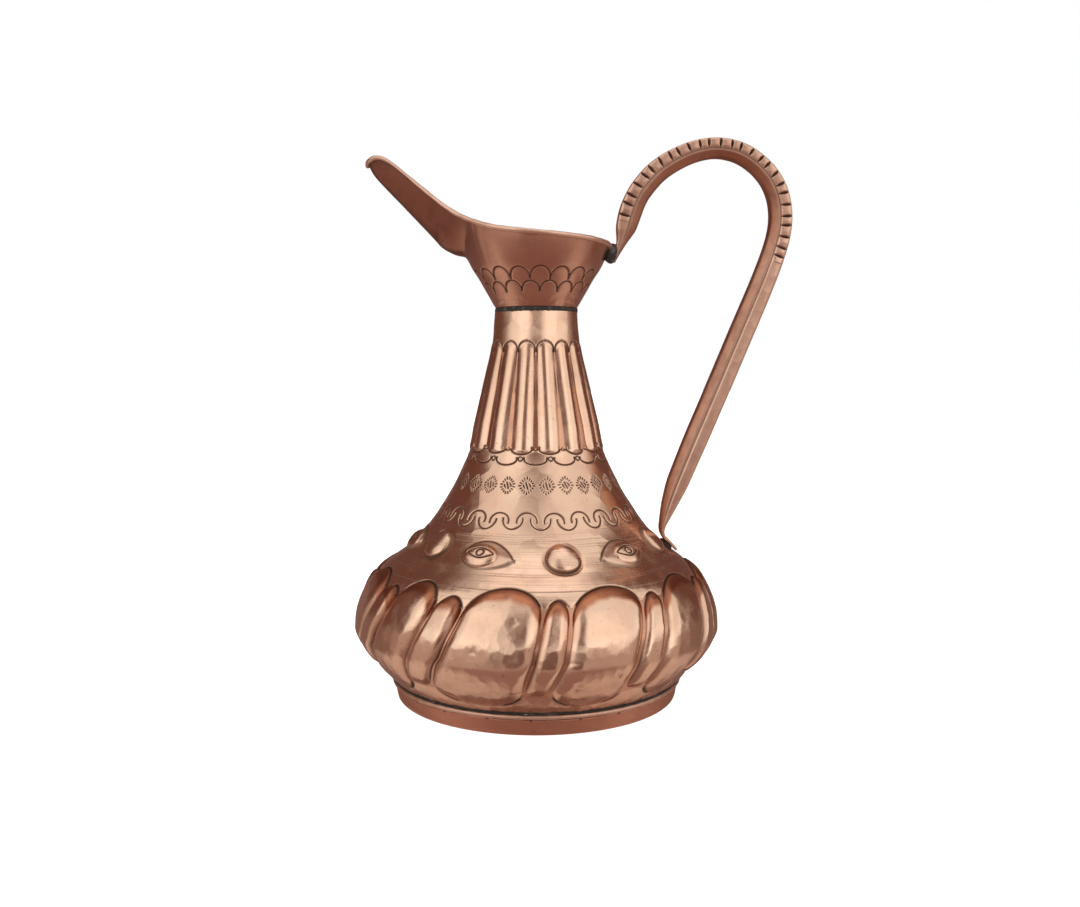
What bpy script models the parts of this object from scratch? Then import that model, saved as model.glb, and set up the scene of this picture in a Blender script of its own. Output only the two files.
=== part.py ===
"""Copper water jug with a gadrooned belly, a drawn-out pouring spout and a folded strip handle.

Metres, +Z up. The origin is at the middle of the bounding box, on the surface that the jug
stands on. The vessel's own axis is the vertical line at x = AXIS_X. The spout points along
-X, the handle along +X, and bearings round the vessel are counted from -Y towards +X.
"""

import math

import bmesh
import bpy
import numpy as np
from mathutils import Vector

MM = 0.001

# Driving dimensions.
AXIS_X = -19.38 * MM
SHEET = 1.3 * MM
GAP = 0.3 * MM

# Body: radius and height of the points that its outer outline passes through.
BODY_OUTLINE = [
    (79.4, 12.4), (91.1, 24.0), (98.6, 35.5), (99.7, 43.0), (97.5, 54.0), (90.2, 66.0),
    (82.0, 73.5), (72.5, 80.5), (62.5, 90.0), (52.0, 104.0), (42.9, 120.0), (36.4, 135.0),
    (33.1, 150.0), (27.2, 175.0), (23.6, 192.0), (22.1, 209.0),
]
BODY_ROWS = 24
BODY_LIP_INNER_RADIUS = 73.0 * MM
LOBE_PAIRS = 11
LOBE_FIRST_BEARING = 7.5
NARROW_LOBE_ANGLE = 10.0
LOBE_GROOVE_DEPTH = 3.0 * MM
LOBE_FOOT = 15.0 * MM
LOBE_TOP = 68.0 * MM
LOBE_FADE = 9.0 * MM
LOBE_LEAN_ANGLE = 10.0

# Foot: a plain band with its lower edge turned in, a bead wire on its upper edge, the bottom.
FOOT_RADIUS = 76.8 * MM
FOOT_TOP_RADIUS = 78.4 * MM
FOOT_HEIGHT = 8.3 * MM
FOOT_FLANGE = 6.0 * MM
FOOT_WIRE_RADIUS = 1.3 * MM
FOOT_WIRE_HEIGHT = 9.9 * MM
BASE_RADIUS = 76.5 * MM
BASE_TOP = 12.1 * MM
BASE_CROWN = 1.5 * MM
FOOT_SEAM_RADII = (77.1 * MM, 80.0 * MM)
FOOT_SEAM_HEIGHTS = (11.5 * MM, 12.1 * MM)
RING_STEPS = 56

# Neck joint.
NECK_SEAM_RADII = (20.9 * MM, 22.9 * MM)
NECK_SEAM_HEIGHTS = (209.3 * MM, 211.2 * MM)

# Mouth: the funnel's outline as radius and height, then the spout's keel and rim lines.
FUNNEL_OUTLINE = [
    (22.2, 211.5), (27.6, 220.8), (31.0, 226.8), (35.4, 233.8), (39.6, 243.6), (41.4, 250.5),
    (44.0, 262.0), (60.0, 340.0), (95.0, 520.0),
]
KEEL_OUTLINE = [
    (20.0, 238.5), (40.0, 239.4), (47.5, 241.8), (52.0, 244.8), (55.0, 248.2), (72.0, 266.0),
    (86.0, 280.6), (90.6, 288.0),
]
SPOUT_RIM_OUTLINE = [
    (20.0, 250.2), (27.0, 251.9), (33.5, 254.8), (40.0, 258.0), (46.3, 262.1), (52.7, 267.6),
    (62.3, 275.6), (75.0, 286.2), (81.0, 290.0), (86.0, 291.0), (90.6, 289.2),
]
SPOUT_HALF_WIDTHS = [
    (20.0, 38.0), (30.0, 29.6), (40.0, 22.2), (50.0, 16.2), (64.0, 11.0), (78.0, 7.9),
    (86.0, 5.6), (89.4, 3.0), (90.6, 0.0),
]
MOUTH_RIM_HEIGHTS = [(0.0, 244.7), (40.0, 245.6), (90.0, 247.5), (120.0, 250.6)]
MOUTH_RIM_STEP_ANGLE = 20.0
SPOUT_SECTION_POWER = 2.6
THROAT_BLEND = 1.5
THROAT_START = 33.0
THROAT_REACH = 21.0
TROUGH_RISE_OUTSIDE = 6.0
TROUGH_RISE_INSIDE = 1.5
MOUTH_COLUMNS_HALF = 26
MOUTH_ROWS = 12
RIM_WIRE_RADIUS = 1.1 * MM
RIM_WIRE_DROP = 0.6 * MM

# Handle: middle line of the folded strip, as distance from the axis and height.
HANDLE_PATH = [
    (43.3, 236.4), (44.9, 241.6), (46.6, 247.2), (48.4, 254.0), (52.0, 266.0), (56.8, 275.0),
    (65.3, 284.4),
    (76.0, 291.2), (87.0, 295.4), (98.0, 296.6), (109.0, 294.2), (118.2, 288.6), (125.4, 281.0),
    (129.8, 272.3), (131.7, 262.5), (131.2, 252.5), (128.2, 240.5), (121.8, 223.0),
    (110.6, 195.8), (98.6, 166.6), (84.6, 133.0), (76.0, 111.5), (71.3, 98.0), (69.3, 90.3),
    (70.6, 85.9), (73.8, 82.7), (77.6, 78.7),
]
# Thickness across the strip (in the handle's plane) and its width, by share of the path.
HANDLE_THICKNESS = [
    (0.0, 1.4), (0.015, 2.0), (0.035, 4.4), (0.06, 10.6), (0.08, 12.0), (0.14, 12.2),
    (0.20, 11.0), (0.26, 9.9), (0.33, 10.2), (0.41, 11.4), (0.50, 12.2), (0.60, 12.6),
    (0.80, 12.6), (0.88, 11.2), (0.92, 6.6), (0.95, 3.0), (0.965, 1.9), (1.0, 1.5),
]
HANDLE_WIDTH = [
    (0.0, 5.0), (0.05, 10.0), (0.12, 13.0), (0.88, 13.0), (0.95, 12.0), (0.98, 10.0), (1.0, 5.0),
]
HANDLE_STEPS = 46
HANDLE_BEVEL = 2.0

# Solder under the two ends of the handle.
TOP_SOLDER_INNER = 38.3 * MM
TOP_SOLDER_OUTER = 42.1 * MM
TOP_SOLDER_BOTTOM = 235.6 * MM
TOP_SOLDER_TOP = 240.0 * MM
TOP_SOLDER_WIDTH = 7.0 * MM
FOOT_SOLDER_THICKNESS = 0.6 * MM
FOOT_SOLDER_WIDTH = 9.0 * MM
FOOT_SOLDER_HEIGHTS = (79.0 * MM, 85.0 * MM)


def clear_scene():
    for item in list(bpy.data.objects):
        bpy.data.objects.remove(item, do_unlink=True)


def material(name, colour, roughness):
    mat = bpy.data.materials.new(name)
    mat.use_nodes = True
    shader = mat.node_tree.nodes["Principled BSDF"]
    shader.inputs["Base Color"].default_value = (*colour, 1.0)
    shader.inputs["Roughness"].default_value = roughness
    shader.inputs["Metallic"].default_value = 1.0
    return mat


def add_object(name, bm, mat, smooth_angle=35.0):
    """Turns a finished bmesh into a named object, smooth shaded up to smooth_angle."""
    bmesh.ops.recalc_face_normals(bm, faces=bm.faces)
    mesh = bpy.data.meshes.new(name)
    bm.to_mesh(mesh)
    bm.free()
    mesh.shade_smooth()
    mesh.set_sharp_from_angle(angle=math.radians(smooth_angle))
    mesh.materials.append(mat)
    item = bpy.data.objects.new(name, mesh)
    bpy.context.scene.collection.objects.link(item)
    return item


def smooth_line(points, count):
    """Points at even steps along a Catmull-Rom curve through the given points."""
    pts = np.array(points, dtype=float)
    ends = [2 * pts[0] - pts[1], *pts, 2 * pts[-1] - pts[-2]]
    fine = []
    for before, start, end, after in zip(ends, ends[1:], ends[2:], ends[3:]):
        for t in np.linspace(0.0, 1.0, 24, endpoint=False):
            bend = (2 * before - 5 * start + 4 * end - after) * t * t
            twist = (3 * start - before - 3 * end + after) * t ** 3
            fine.append(0.5 * (2 * start + (end - before) * t + bend + twist))
    fine.append(pts[-1])
    fine = np.array(fine)
    lengths = np.linalg.norm(np.diff(fine, axis=0), axis=1)
    along = np.concatenate([[0.0], np.cumsum(lengths)])
    wanted = np.linspace(0.0, along[-1], count)
    return np.stack([np.interp(wanted, along, fine[:, k]) for k in range(pts.shape[1])], axis=1)


def read_line(points, where):
    """Value of a smooth curve, given as (position, value) points, at a position."""
    curve = smooth_line(points, 400)
    return float(np.interp(where, curve[:, 0], curve[:, 1]))


def on_vessel(radius, bearing, height):
    """Point at a radius from the vessel's axis, on a bearing in degrees from -Y towards +X."""
    turn = math.radians(bearing)
    return Vector((AXIS_X + radius * math.sin(turn), -radius * math.cos(turn), height))


def grid_faces(bm, rows, closed):
    """Joins rows of vertices, each the same length, with quads."""
    size = len(rows[0])
    last = size if closed else size - 1
    for lower, upper in zip(rows, rows[1:]):
        for i in range(last):
            j = (i + 1) % size
            bm.faces.new((lower[i], lower[j], upper[j], upper[i]))


def turned_ring(name, section, mat):
    """Solid of revolution from a closed section of (radius, height) points in metres."""
    bm = bmesh.new()
    rings = []
    for step in range(RING_STEPS):
        bearing = 360.0 * step / RING_STEPS
        rings.append([bm.verts.new(on_vessel(r, bearing, z)) for r, z in section])
    rings.append(rings[0])
    grid_faces(bm, rings, closed=True)
    return add_object(name, bm, mat)


def solidify(item):
    """Gives an open skin its sheet thickness, inwards from the modelled outer face."""
    skin = item.modifiers.new("Sheet", "SOLIDIFY")
    skin.thickness = SHEET
    skin.offset = -1.0
    skin.use_even_offset = True
    return item


def soft_step(value):
    value = min(max(value, 0.0), 1.0)
    return value * value * (3.0 - 2.0 * value)


def lobe_window(height):
    """1 in the gadrooned zone of the belly, fading to 0 at its foot and at its top."""
    rise = soft_step((height - LOBE_FOOT) / LOBE_FADE)
    fall = soft_step((LOBE_TOP - height) / LOBE_FADE)
    return rise * fall


def lobe_lean(height):
    """How far the lobes have swung round, in degrees, below their tops."""
    share = (LOBE_TOP - height) / (LOBE_TOP - LOBE_FOOT)
    return -LOBE_LEAN_ANGLE * soft_step(share)


def lobe_columns():
    """Bearing and depth share of the mesh columns: grooves, lobe crowns and their flanks."""
    pitch = 360.0 / LOBE_PAIRS
    broad = pitch - NARROW_LOBE_ANGLE
    places = [
        (-0.5 * NARROW_LOBE_ANGLE, 1.0), (0.0, 0.15), (0.5 * NARROW_LOBE_ANGLE, 1.0),
        (0.5 * NARROW_LOBE_ANGLE + 0.25 * broad, 0.12), (0.5 * pitch, 0.0),
        (0.5 * NARROW_LOBE_ANGLE + 0.75 * broad, 0.12),
    ]
    columns = []
    for pair in range(LOBE_PAIRS):
        start = LOBE_FIRST_BEARING + pair * pitch
        columns += [(start + turn, depth) for turn, depth in places]
    return columns


def build_body(mat):
    """Neck, shoulder and belly, raised from one sheet; its lower lip is turned in."""
    bm = bmesh.new()
    columns = lobe_columns()
    outline = smooth_line(BODY_OUTLINE, BODY_ROWS) * MM
    lip = (BODY_LIP_INNER_RADIUS, outline[0][1])
    rows = []
    for radius, height in [lip, *outline]:
        cut = LOBE_GROOVE_DEPTH * lobe_window(height)
        lean = lobe_lean(height)
        row = [on_vessel(radius - cut * depth, turn + lean, height) for turn, depth in columns]
        rows.append([bm.verts.new(point) for point in row])
    grid_faces(bm, rows, closed=True)
    return solidify(add_object("body_shell", bm, mat))


def build_foot_ring(mat):
    section = [
        (FOOT_RADIUS, 0.0),
        (FOOT_TOP_RADIUS, FOOT_HEIGHT),
        (FOOT_TOP_RADIUS - SHEET, FOOT_HEIGHT),
        (FOOT_RADIUS - SHEET, SHEET),
        (FOOT_RADIUS - FOOT_FLANGE, SHEET),
        (FOOT_RADIUS - FOOT_FLANGE, 0.0),
    ]
    return turned_ring("foot_ring", section, mat)


def round_section(radius, height, size, sides=8):
    turns = [2.0 * math.pi * (k + 0.5) / sides for k in range(sides)]
    return [(radius + size * math.cos(t), height + size * math.sin(t)) for t in turns]


def build_foot_wire(mat):
    ring = round_section(FOOT_TOP_RADIUS, FOOT_WIRE_HEIGHT, FOOT_WIRE_RADIUS)
    return turned_ring("foot_bead_wire", ring, mat)


def flat_section(radii, heights):
    (inner, outer), (low, high) = radii, heights
    return [(inner, low), (outer, low), (outer, high), (inner, high)]


def build_base_disc(mat):
    """The bottom of the jug: a disc of sheet with a slightly raised middle."""
    bm = bmesh.new()
    levels = [(1.0, 0.0), (0.72, 0.45), (0.38, 0.85)]
    top = []
    bottom = []
    for share, crown in levels:
        height = BASE_TOP + crown * BASE_CROWN
        turns = [360.0 * k / RING_STEPS for k in range(RING_STEPS)]
        top.append([bm.verts.new(on_vessel(share * BASE_RADIUS, t, height)) for t in turns])
        bottom.append([bm.verts.new(on_vessel(share * BASE_RADIUS, t, height - SHEET)) for t in turns])
    grid_faces(bm, [*reversed(bottom), *top], closed=True)
    for rim, height in ((top[-1], BASE_TOP + BASE_CROWN), (bottom[-1], BASE_TOP + BASE_CROWN - SHEET)):
        middle = bm.verts.new(on_vessel(0.0, 0.0, height))
        for a, b in zip(rim, rim[1:] + rim[:1]):
            bm.faces.new((a, b, middle))
    return add_object("base_disc", bm, mat)


def soft_minimum(a, b, blend):
    """The smaller of two heights, rounded where they cross."""
    mix = min(max(0.5 + 0.5 * (b - a) / blend, 0.0), 1.0)
    return b + (a - b) * mix - blend * mix * (1.0 - mix)


def mouth_height(x, y, lines):
    """Height of the mouth's outer face over a plan point, all in millimetres."""
    funnel, keel, rim, widths = lines
    wall = float(np.interp(math.hypot(x, y), funnel[:, 0], funnel[:, 1]))
    if x > -THROAT_REACH:
        return wall
    width = max(float(np.interp(-x, widths[:, 0], widths[:, 1])), 0.3)
    low = float(np.interp(-x, keel[:, 0], keel[:, 1]))
    high = float(np.interp(-x, rim[:, 0], rim[:, 1]))
    trough = low + (high - low) * min(abs(y) / width, 1.0) ** SPOUT_SECTION_POWER
    trough += max(abs(y) - width, 0.0) * TROUGH_RISE_OUTSIDE
    trough += max(x + THROAT_START, 0.0) * TROUGH_RISE_INSIDE
    return soft_minimum(wall, trough, THROAT_BLEND)


def mouth_lines():
    outlines = (FUNNEL_OUTLINE, KEEL_OUTLINE, SPOUT_RIM_OUTLINE, SPOUT_HALF_WIDTHS)
    return [smooth_line(outline, 300) for outline in outlines]


def mouth_rim_plan():
    """Half of the rim seen from above, from the handle side round to the spout's tip."""
    funnel = smooth_line(FUNNEL_OUTLINE, 300)
    points = []
    for turn in np.arange(0.0, MOUTH_RIM_HEIGHTS[-1][0] + 1.0, MOUTH_RIM_STEP_ANGLE):
        height = read_line(MOUTH_RIM_HEIGHTS, turn)
        radius = float(np.interp(height, funnel[:, 1], funnel[:, 0]))
        points.append((radius * math.cos(math.radians(turn)), radius * math.sin(math.radians(turn))))
    spout = [(-x, y) for x, y in SPOUT_HALF_WIDTHS[1:]]
    return smooth_line([*points, *spout], MOUTH_COLUMNS_HALF + 1)


def mouth_column(plan_point, lines):
    """Points up one side of the mouth, from the neck seam to the rim, at even steps."""
    x, y = plan_point
    reach = math.hypot(x, y)
    fine = []
    for share in np.linspace(0.0, 1.0, 240):
        radius = FUNNEL_OUTLINE[0][0] + share * (reach - FUNNEL_OUTLINE[0][0])
        px, py = x / reach * radius, y / reach * radius
        fine.append((px, py, mouth_height(px, py, lines)))
    fine = np.array(fine)
    lengths = np.linalg.norm(np.diff(fine, axis=0), axis=1)
    along = np.concatenate([[0.0], np.cumsum(lengths)])
    wanted = np.linspace(0.0, along[-1], MOUTH_ROWS + 1)
    return np.stack([np.interp(wanted, along, fine[:, k]) for k in range(3)], axis=1)


def mouth_grid():
    """All columns of the mouth, in order round the vessel, in metres."""
    lines = mouth_lines()
    half = [mouth_column(point, lines) for point in mouth_rim_plan()]
    mirror = np.array([1.0, -1.0, 1.0])
    front = [column * mirror for column in half]
    columns = front + [column for column in half[-2:0:-1]]
    return [column * MM + np.array([AXIS_X, 0.0, 0.0]) for column in columns]


def build_mouth(mat):
    """Funnel and spout, raised from one sheet; the open top is the pouring mouth."""
    bm = bmesh.new()
    rows = [[bm.verts.new(point) for point in column] for column in mouth_grid()]
    rows.append(rows[0])
    grid_faces(bm, rows, closed=False)
    item = solidify(add_object("mouth_and_spout", bm, mat))
    middle = item.data.polygons[len(item.data.polygons) // 4]
    if middle.normal.x * (middle.center.x - AXIS_X) + middle.normal.y * middle.center.y < 0.0:
        item.data.flip_normals()
    return item


def rim_wire_points():
    """Middle line of the rim wire: just outside the sheet, a little below its edge."""
    columns = mouth_grid()
    count = len(columns)
    offset = RIM_WIRE_RADIUS + GAP
    points = []
    for k, column in enumerate(columns):
        edge = column[-1]
        down = column[-2] - edge
        down = down / np.linalg.norm(down)
        side = columns[(k + 1) % count][-1] - columns[k - 1][-1]
        out = np.cross(side, down)
        out = out / np.linalg.norm(out)
        if out[0] * (edge[0] - AXIS_X) + out[1] * edge[1] < 0.0:
            out = -out
        points.append(edge + out * offset + down * RIM_WIRE_DROP)
    return points


def build_rim_wire(mat):
    """Wire round the edge of the mouth, along its whole rim and the spout's lip."""
    data = bpy.data.curves.new("rim_wire", "CURVE")
    data.dimensions = "3D"
    data.bevel_depth = RIM_WIRE_RADIUS
    data.bevel_resolution = 2
    line = data.splines.new("POLY")
    points = rim_wire_points()
    line.points.add(len(points) - 1)
    for slot, point in zip(line.points, points):
        slot.co = (*point, 1.0)
    line.use_cyclic_u = True
    data.materials.append(mat)
    item = bpy.data.objects.new("rim_wire", data)
    bpy.context.scene.collection.objects.link(item)
    return item


def handle_section(thickness, width):
    """Folded strip, narrower on its inner side: offsets in the handle's plane and across it."""
    t = 0.5 * thickness
    w = 0.5 * width
    b = min(HANDLE_BEVEL, 0.55 * t)
    inner = max(0.35 * w, w - 1.5 * t)
    return [
        (t, -w + b), (t, w - b), (t - b, w), (-0.15 * t, w), (-t, inner), (-t, -inner),
        (-0.15 * t, -w), (t - b, -w),
    ]


def build_handle(mat):
    """Folded strip: leaf end at the rim, a round arch, a straight leg and a flat tongue."""
    bm = bmesh.new()
    path = smooth_line(HANDLE_PATH, HANDLE_STEPS)
    rows = []
    for k, (x, z) in enumerate(path):
        ahead = path[min(k + 1, len(path) - 1)]
        behind = path[max(k - 1, 0)]
        along = (ahead - behind) / np.linalg.norm(ahead - behind)
        out = np.array([-along[1], along[0]])
        share = k / (len(path) - 1)
        thickness = float(np.interp(share, *zip(*HANDLE_THICKNESS)))
        width = float(np.interp(share, *zip(*HANDLE_WIDTH)))
        row = []
        for off, across in handle_section(thickness, width):
            place = (x + out[0] * off, across, z + out[1] * off)
            row.append(bm.verts.new(Vector(place) * MM + Vector((AXIS_X, 0.0, 0.0))))
        rows.append(row)
    grid_faces(bm, rows, closed=True)
    bm.faces.new(rows[0])
    bm.faces.new(rows[-1])
    return add_object("handle", bm, mat)


def build_top_solder(mat):
    """Block of solder between the funnel's wall and the leaf end of the handle."""
    bm = bmesh.new()
    half = 0.5 * TOP_SOLDER_WIDTH
    rows = []
    for height in (TOP_SOLDER_BOTTOM, TOP_SOLDER_TOP):
        share = (height - TOP_SOLDER_BOTTOM) / (TOP_SOLDER_TOP - TOP_SOLDER_BOTTOM)
        inner = TOP_SOLDER_INNER + share * 2.0 * MM
        corners = [(inner, -half), (TOP_SOLDER_OUTER, -0.6 * half)]
        corners += [(TOP_SOLDER_OUTER, 0.6 * half), (inner, half)]
        rows.append([bm.verts.new((AXIS_X + x, y, height)) for x, y in corners])
    grid_faces(bm, rows, closed=True)
    bm.faces.new(rows[0])
    bm.faces.new(rows[1])
    return add_object("handle_top_solder", bm, mat)


def build_foot_solder(mat):
    """Thin pad of solder between the handle's tongue and the shoulder."""
    bm = bmesh.new()
    outline = smooth_line(BODY_OUTLINE, 300)[::-1] * MM
    low, high = FOOT_SOLDER_HEIGHTS
    steps = 4
    rows = []
    for side in (GAP, GAP + FOOT_SOLDER_THICKNESS):
        for k in range(steps + 1):
            height = low + (high - low) * k / steps
            radius = float(np.interp(height, outline[::-1, 1], outline[::-1, 0]))
            above = float(np.interp(height + MM, outline[::-1, 1], outline[::-1, 0]))
            slope = (above - radius) / MM
            normal = Vector((1.0, 0.0, -slope)).normalized()
            row = []
            for share in (-1.0, 0.0, 1.0):
                across = 0.5 * share * FOOT_SOLDER_WIDTH
                reach = math.sqrt(radius * radius - across * across)
                place = Vector((AXIS_X + reach, across, height)) + normal * side
                row.append(bm.verts.new(place))
            rows.append(row)
    lower = rows[: steps + 1]
    upper = rows[steps + 1:]
    grid_faces(bm, lower, closed=False)
    grid_faces(bm, upper, closed=False)
    border = [*range(steps + 1)]
    for a, b in zip(border, border[1:]):
        bm.faces.new((lower[a][0], lower[b][0], upper[b][0], upper[a][0]))
        bm.faces.new((lower[a][-1], upper[a][-1], upper[b][-1], lower[b][-1]))
    for row, other in ((lower[0], upper[0]), (lower[-1], upper[-1])):
        bm.faces.new((row[0], row[1], other[1], other[0]))
        bm.faces.new((row[1], row[2], other[2], other[1]))
    return add_object("handle_foot_solder", bm, mat)


def main():
    clear_scene()
    bright = material("polished_copper", (0.62, 0.33, 0.23), 0.22)
    satin = material("satin_copper", (0.52, 0.27, 0.19), 0.36)
    worn = material("foot_copper", (0.55, 0.28, 0.17), 0.34)
    solder = material("dark_solder", (0.09, 0.07, 0.06), 0.55)
    build_body(bright)
    build_base_disc(worn)
    build_foot_ring(worn)
    build_foot_wire(satin)
    turned_ring("foot_solder", flat_section(FOOT_SEAM_RADII, FOOT_SEAM_HEIGHTS), solder)
    turned_ring("neck_solder", flat_section(NECK_SEAM_RADII, NECK_SEAM_HEIGHTS), solder)
    build_mouth(satin)
    build_rim_wire(satin)
    build_handle(satin)
    build_top_solder(solder)
    build_foot_solder(solder)


main()
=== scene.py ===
"""Looks of a hammered copper water jug: chased and gadrooned body, drawn spout, strip handle."""

import math

import bpy
import numpy as np
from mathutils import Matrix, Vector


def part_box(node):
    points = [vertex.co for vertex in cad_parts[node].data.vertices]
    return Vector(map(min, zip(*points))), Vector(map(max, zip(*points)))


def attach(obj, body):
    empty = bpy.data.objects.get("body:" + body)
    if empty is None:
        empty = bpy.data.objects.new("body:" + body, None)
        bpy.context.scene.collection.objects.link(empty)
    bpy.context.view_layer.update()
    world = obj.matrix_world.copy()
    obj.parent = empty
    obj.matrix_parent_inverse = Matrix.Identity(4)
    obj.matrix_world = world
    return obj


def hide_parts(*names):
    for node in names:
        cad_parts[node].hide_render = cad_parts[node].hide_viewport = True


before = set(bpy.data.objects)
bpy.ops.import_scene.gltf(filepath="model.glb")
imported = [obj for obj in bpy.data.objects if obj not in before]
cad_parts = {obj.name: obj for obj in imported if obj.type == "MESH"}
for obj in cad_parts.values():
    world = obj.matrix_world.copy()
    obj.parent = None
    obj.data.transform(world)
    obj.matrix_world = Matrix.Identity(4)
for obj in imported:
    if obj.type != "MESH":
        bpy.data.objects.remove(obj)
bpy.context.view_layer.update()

MM = 0.001
RNG = np.random.default_rng(11)

# The vessel's axis and main levels, read from the frame.
BODY_LOW, BODY_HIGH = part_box("body_shell")
RING_LOW, RING_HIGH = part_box("foot_ring")
AXIS_X = 0.5 * (RING_LOW.x + RING_HIGH.x)
NECK_TOP = BODY_HIGH.z / MM
BODY_FOOT = BODY_LOW.z / MM
SHEET = 1.3
STEPS_PER_SPAN = 24


# ---------------------------------------------------------------- curves and grids

def smooth_line(points, count):
    """Points at even steps along a Catmull-Rom curve through the given points."""
    pts = np.array(points, dtype=float)
    ends = [2 * pts[0] - pts[1], *pts, 2 * pts[-1] - pts[-2]]
    fine = []
    for before, start, end, after in zip(ends, ends[1:], ends[2:], ends[3:]):
        for t in np.linspace(0.0, 1.0, STEPS_PER_SPAN, endpoint=False):
            bend = (2 * before - 5 * start + 4 * end - after) * t * t
            twist = (3 * start - before - 3 * end + after) * t ** 3
            fine.append(0.5 * (2 * start + (end - before) * t + bend + twist))
    fine.append(pts[-1])
    return even_steps(np.array(fine), count)


def lengths_along(line):
    """Distance along a line from its start to each of its points."""
    steps = np.linalg.norm(np.diff(line, axis=0), axis=1)
    return np.concatenate([[0.0], np.cumsum(steps)])


def points_at(line, wanted):
    """Points of a line at the wanted distances from its start."""
    along = lengths_along(line)
    return np.stack([np.interp(wanted, along, line[:, k]) for k in range(line.shape[1])], axis=1)


def even_steps(line, count):
    return points_at(line, np.linspace(0.0, lengths_along(line)[-1], count))


def smooth_values(values, span, ends):
    """Values averaged over an odd number of neighbours; ends says how to go on past the last ones."""
    kernel = np.hanning(span)
    return np.convolve(np.pad(values, span // 2, mode=ends), kernel / kernel.sum(), mode="valid")


def soft_step(value, low=0.0, high=1.0):
    share = np.clip((value - low) / (high - low), 0.0, 1.0)
    return share * share * (3.0 - 2.0 * share)


def line_mark(distance, width):
    """1 on a chased line of a given width, 0 away from it, with a soft edge."""
    return 1.0 - soft_step(distance, 0.3 * width, 0.85 * width)


def ellipse_distance(u, v, a, b):
    """Distance from an ellipse centred on u = v = 0, close to its line."""
    reach = np.sqrt((u / a) ** 2 + (v / b) ** 2) + 1e-9
    slope = np.sqrt((u / (a * a)) ** 2 + (v / (b * b)) ** 2) / reach + 1e-9
    return np.abs(reach - 1.0) / slope


def wrap(bearing):
    return (bearing + 180.0) % 360.0 - 180.0


def nearest_copy(bearing, count, first):
    """Bearing from the nearest of count evenly spaced places, and which place it is."""
    pitch = 360.0 / count
    index = np.round((bearing - first) / pitch)
    return wrap(bearing - first - index * pitch), index.astype(int) % count


def cell_corners(index, seed):
    """Repeatable random numbers, three for each whole-number cell."""
    mixed = index[..., 0] * 73856093 ^ index[..., 1] * 19349663 ^ index[..., 2] * 83492791
    mixed = (mixed + seed * 2654435761) & 0x7FFFFFFF
    out = []
    for step in (1, 2, 3):
        mixed = (mixed * 1103515245 + 12345 * step) & 0x7FFFFFFF
        out.append(((mixed >> 8) & 0xFFFF) / 65535.0)
    return np.stack(out, axis=-1)


def hammer_dents(points, size, seed):
    """Shallow round dents side by side: 0 at a dent's middle, 1 at the ridge between dents."""
    spot = points / size
    cell = np.floor(spot).astype(np.int64)
    best = np.full(points.shape[:-1], 9.0)
    for dx in (-1, 0, 1):
        for dy in (-1, 0, 1):
            for dz in (-1, 0, 1):
                near = cell + np.array([dx, dy, dz])
                centre = near + 0.15 + 0.7 * cell_corners(near, seed)
                best = np.minimum(best, ((spot - centre) ** 2).sum(axis=-1))
    return np.clip(best, 0.0, 1.0)


def grid_normals(points):
    """Normals of a grid of points, rows by columns, with the columns all round."""
    down = np.gradient(points, axis=0)
    across = np.roll(points, -1, axis=1) - np.roll(points, 1, axis=1)
    normal = np.cross(across, down)
    return normal / (np.linalg.norm(normal, axis=-1, keepdims=True) + 1e-12)


def grid_faces(rows, columns, flip=False):
    """Quads of a grid whose columns go all round."""
    low = np.arange(rows - 1)[:, None] * columns
    here = np.arange(columns)[None, :]
    ahead = (here + 1) % columns
    quad = [low + here, low + ahead, low + columns + ahead, low + columns + here]
    if flip:
        quad = quad[::-1]
    return np.stack(quad, axis=-1).reshape(-1, 4)


def ring_faces(rows, columns):
    """Quads of a grid that closes both ways."""
    return grid_faces(rows + 1, columns) % (rows * columns)


def end_caps(rows, columns):
    """One large face over each end of a grid."""
    last = (rows - 1) * columns
    return [range(columns), range(last + columns - 1, last - 1, -1)]


def fill_mesh(mesh, points, quads, caps):
    """Fills an empty mesh with points, quads and a few larger end faces."""
    loops = np.concatenate([quads.ravel(), *[np.array(cap) for cap in caps]]).astype(np.int32)
    sizes = np.concatenate([np.full(len(quads), 4), [len(cap) for cap in caps]]).astype(np.int32)
    starts = np.concatenate([[0], np.cumsum(sizes)[:-1]]).astype(np.int32)
    mesh.vertices.add(len(points))
    mesh.vertices.foreach_set("co", points.astype(np.float32).ravel())
    mesh.loops.add(len(loops))
    mesh.loops.foreach_set("vertex_index", loops)
    mesh.polygons.add(len(sizes))
    mesh.polygons.foreach_set("loop_start", starts)
    mesh.polygons.foreach_set("use_smooth", np.ones(len(sizes), dtype=bool))
    mesh.update(calc_edges=True)
    mesh.validate()


def make_piece(name, points, quads, material, nodes, marks, normals=None, caps=()):
    """A smooth mesh piece, in metres, riding on the jug and standing for its CAD nodes."""
    mesh = bpy.data.meshes.new(name)
    fill_mesh(mesh, points.reshape(-1, 3), np.asarray(quads), caps)
    for key, values in marks.items():
        layer = mesh.attributes.new(key, "FLOAT", "POINT")
        layer.data.foreach_set("value", np.ascontiguousarray(values, dtype=np.float32).ravel())
    if normals is not None:
        mesh.normals_split_custom_set_from_vertices(normals.reshape(-1, 3).tolist())
    mesh.materials.append(material)
    piece = bpy.data.objects.new(name, mesh)
    bpy.context.scene.collection.objects.link(piece)
    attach(piece, "root")
    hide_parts(*nodes)


def even_marks(shape, tarnish_and_shade):
    """Marks of a face without patina and with the same tarnish all over; elsewhere these marks also carry
    painted shade.
    """
    return {"patina_and_shade": np.zeros(shape), "tarnish_and_shade": np.full(shape, tarnish_and_shade)}


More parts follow.
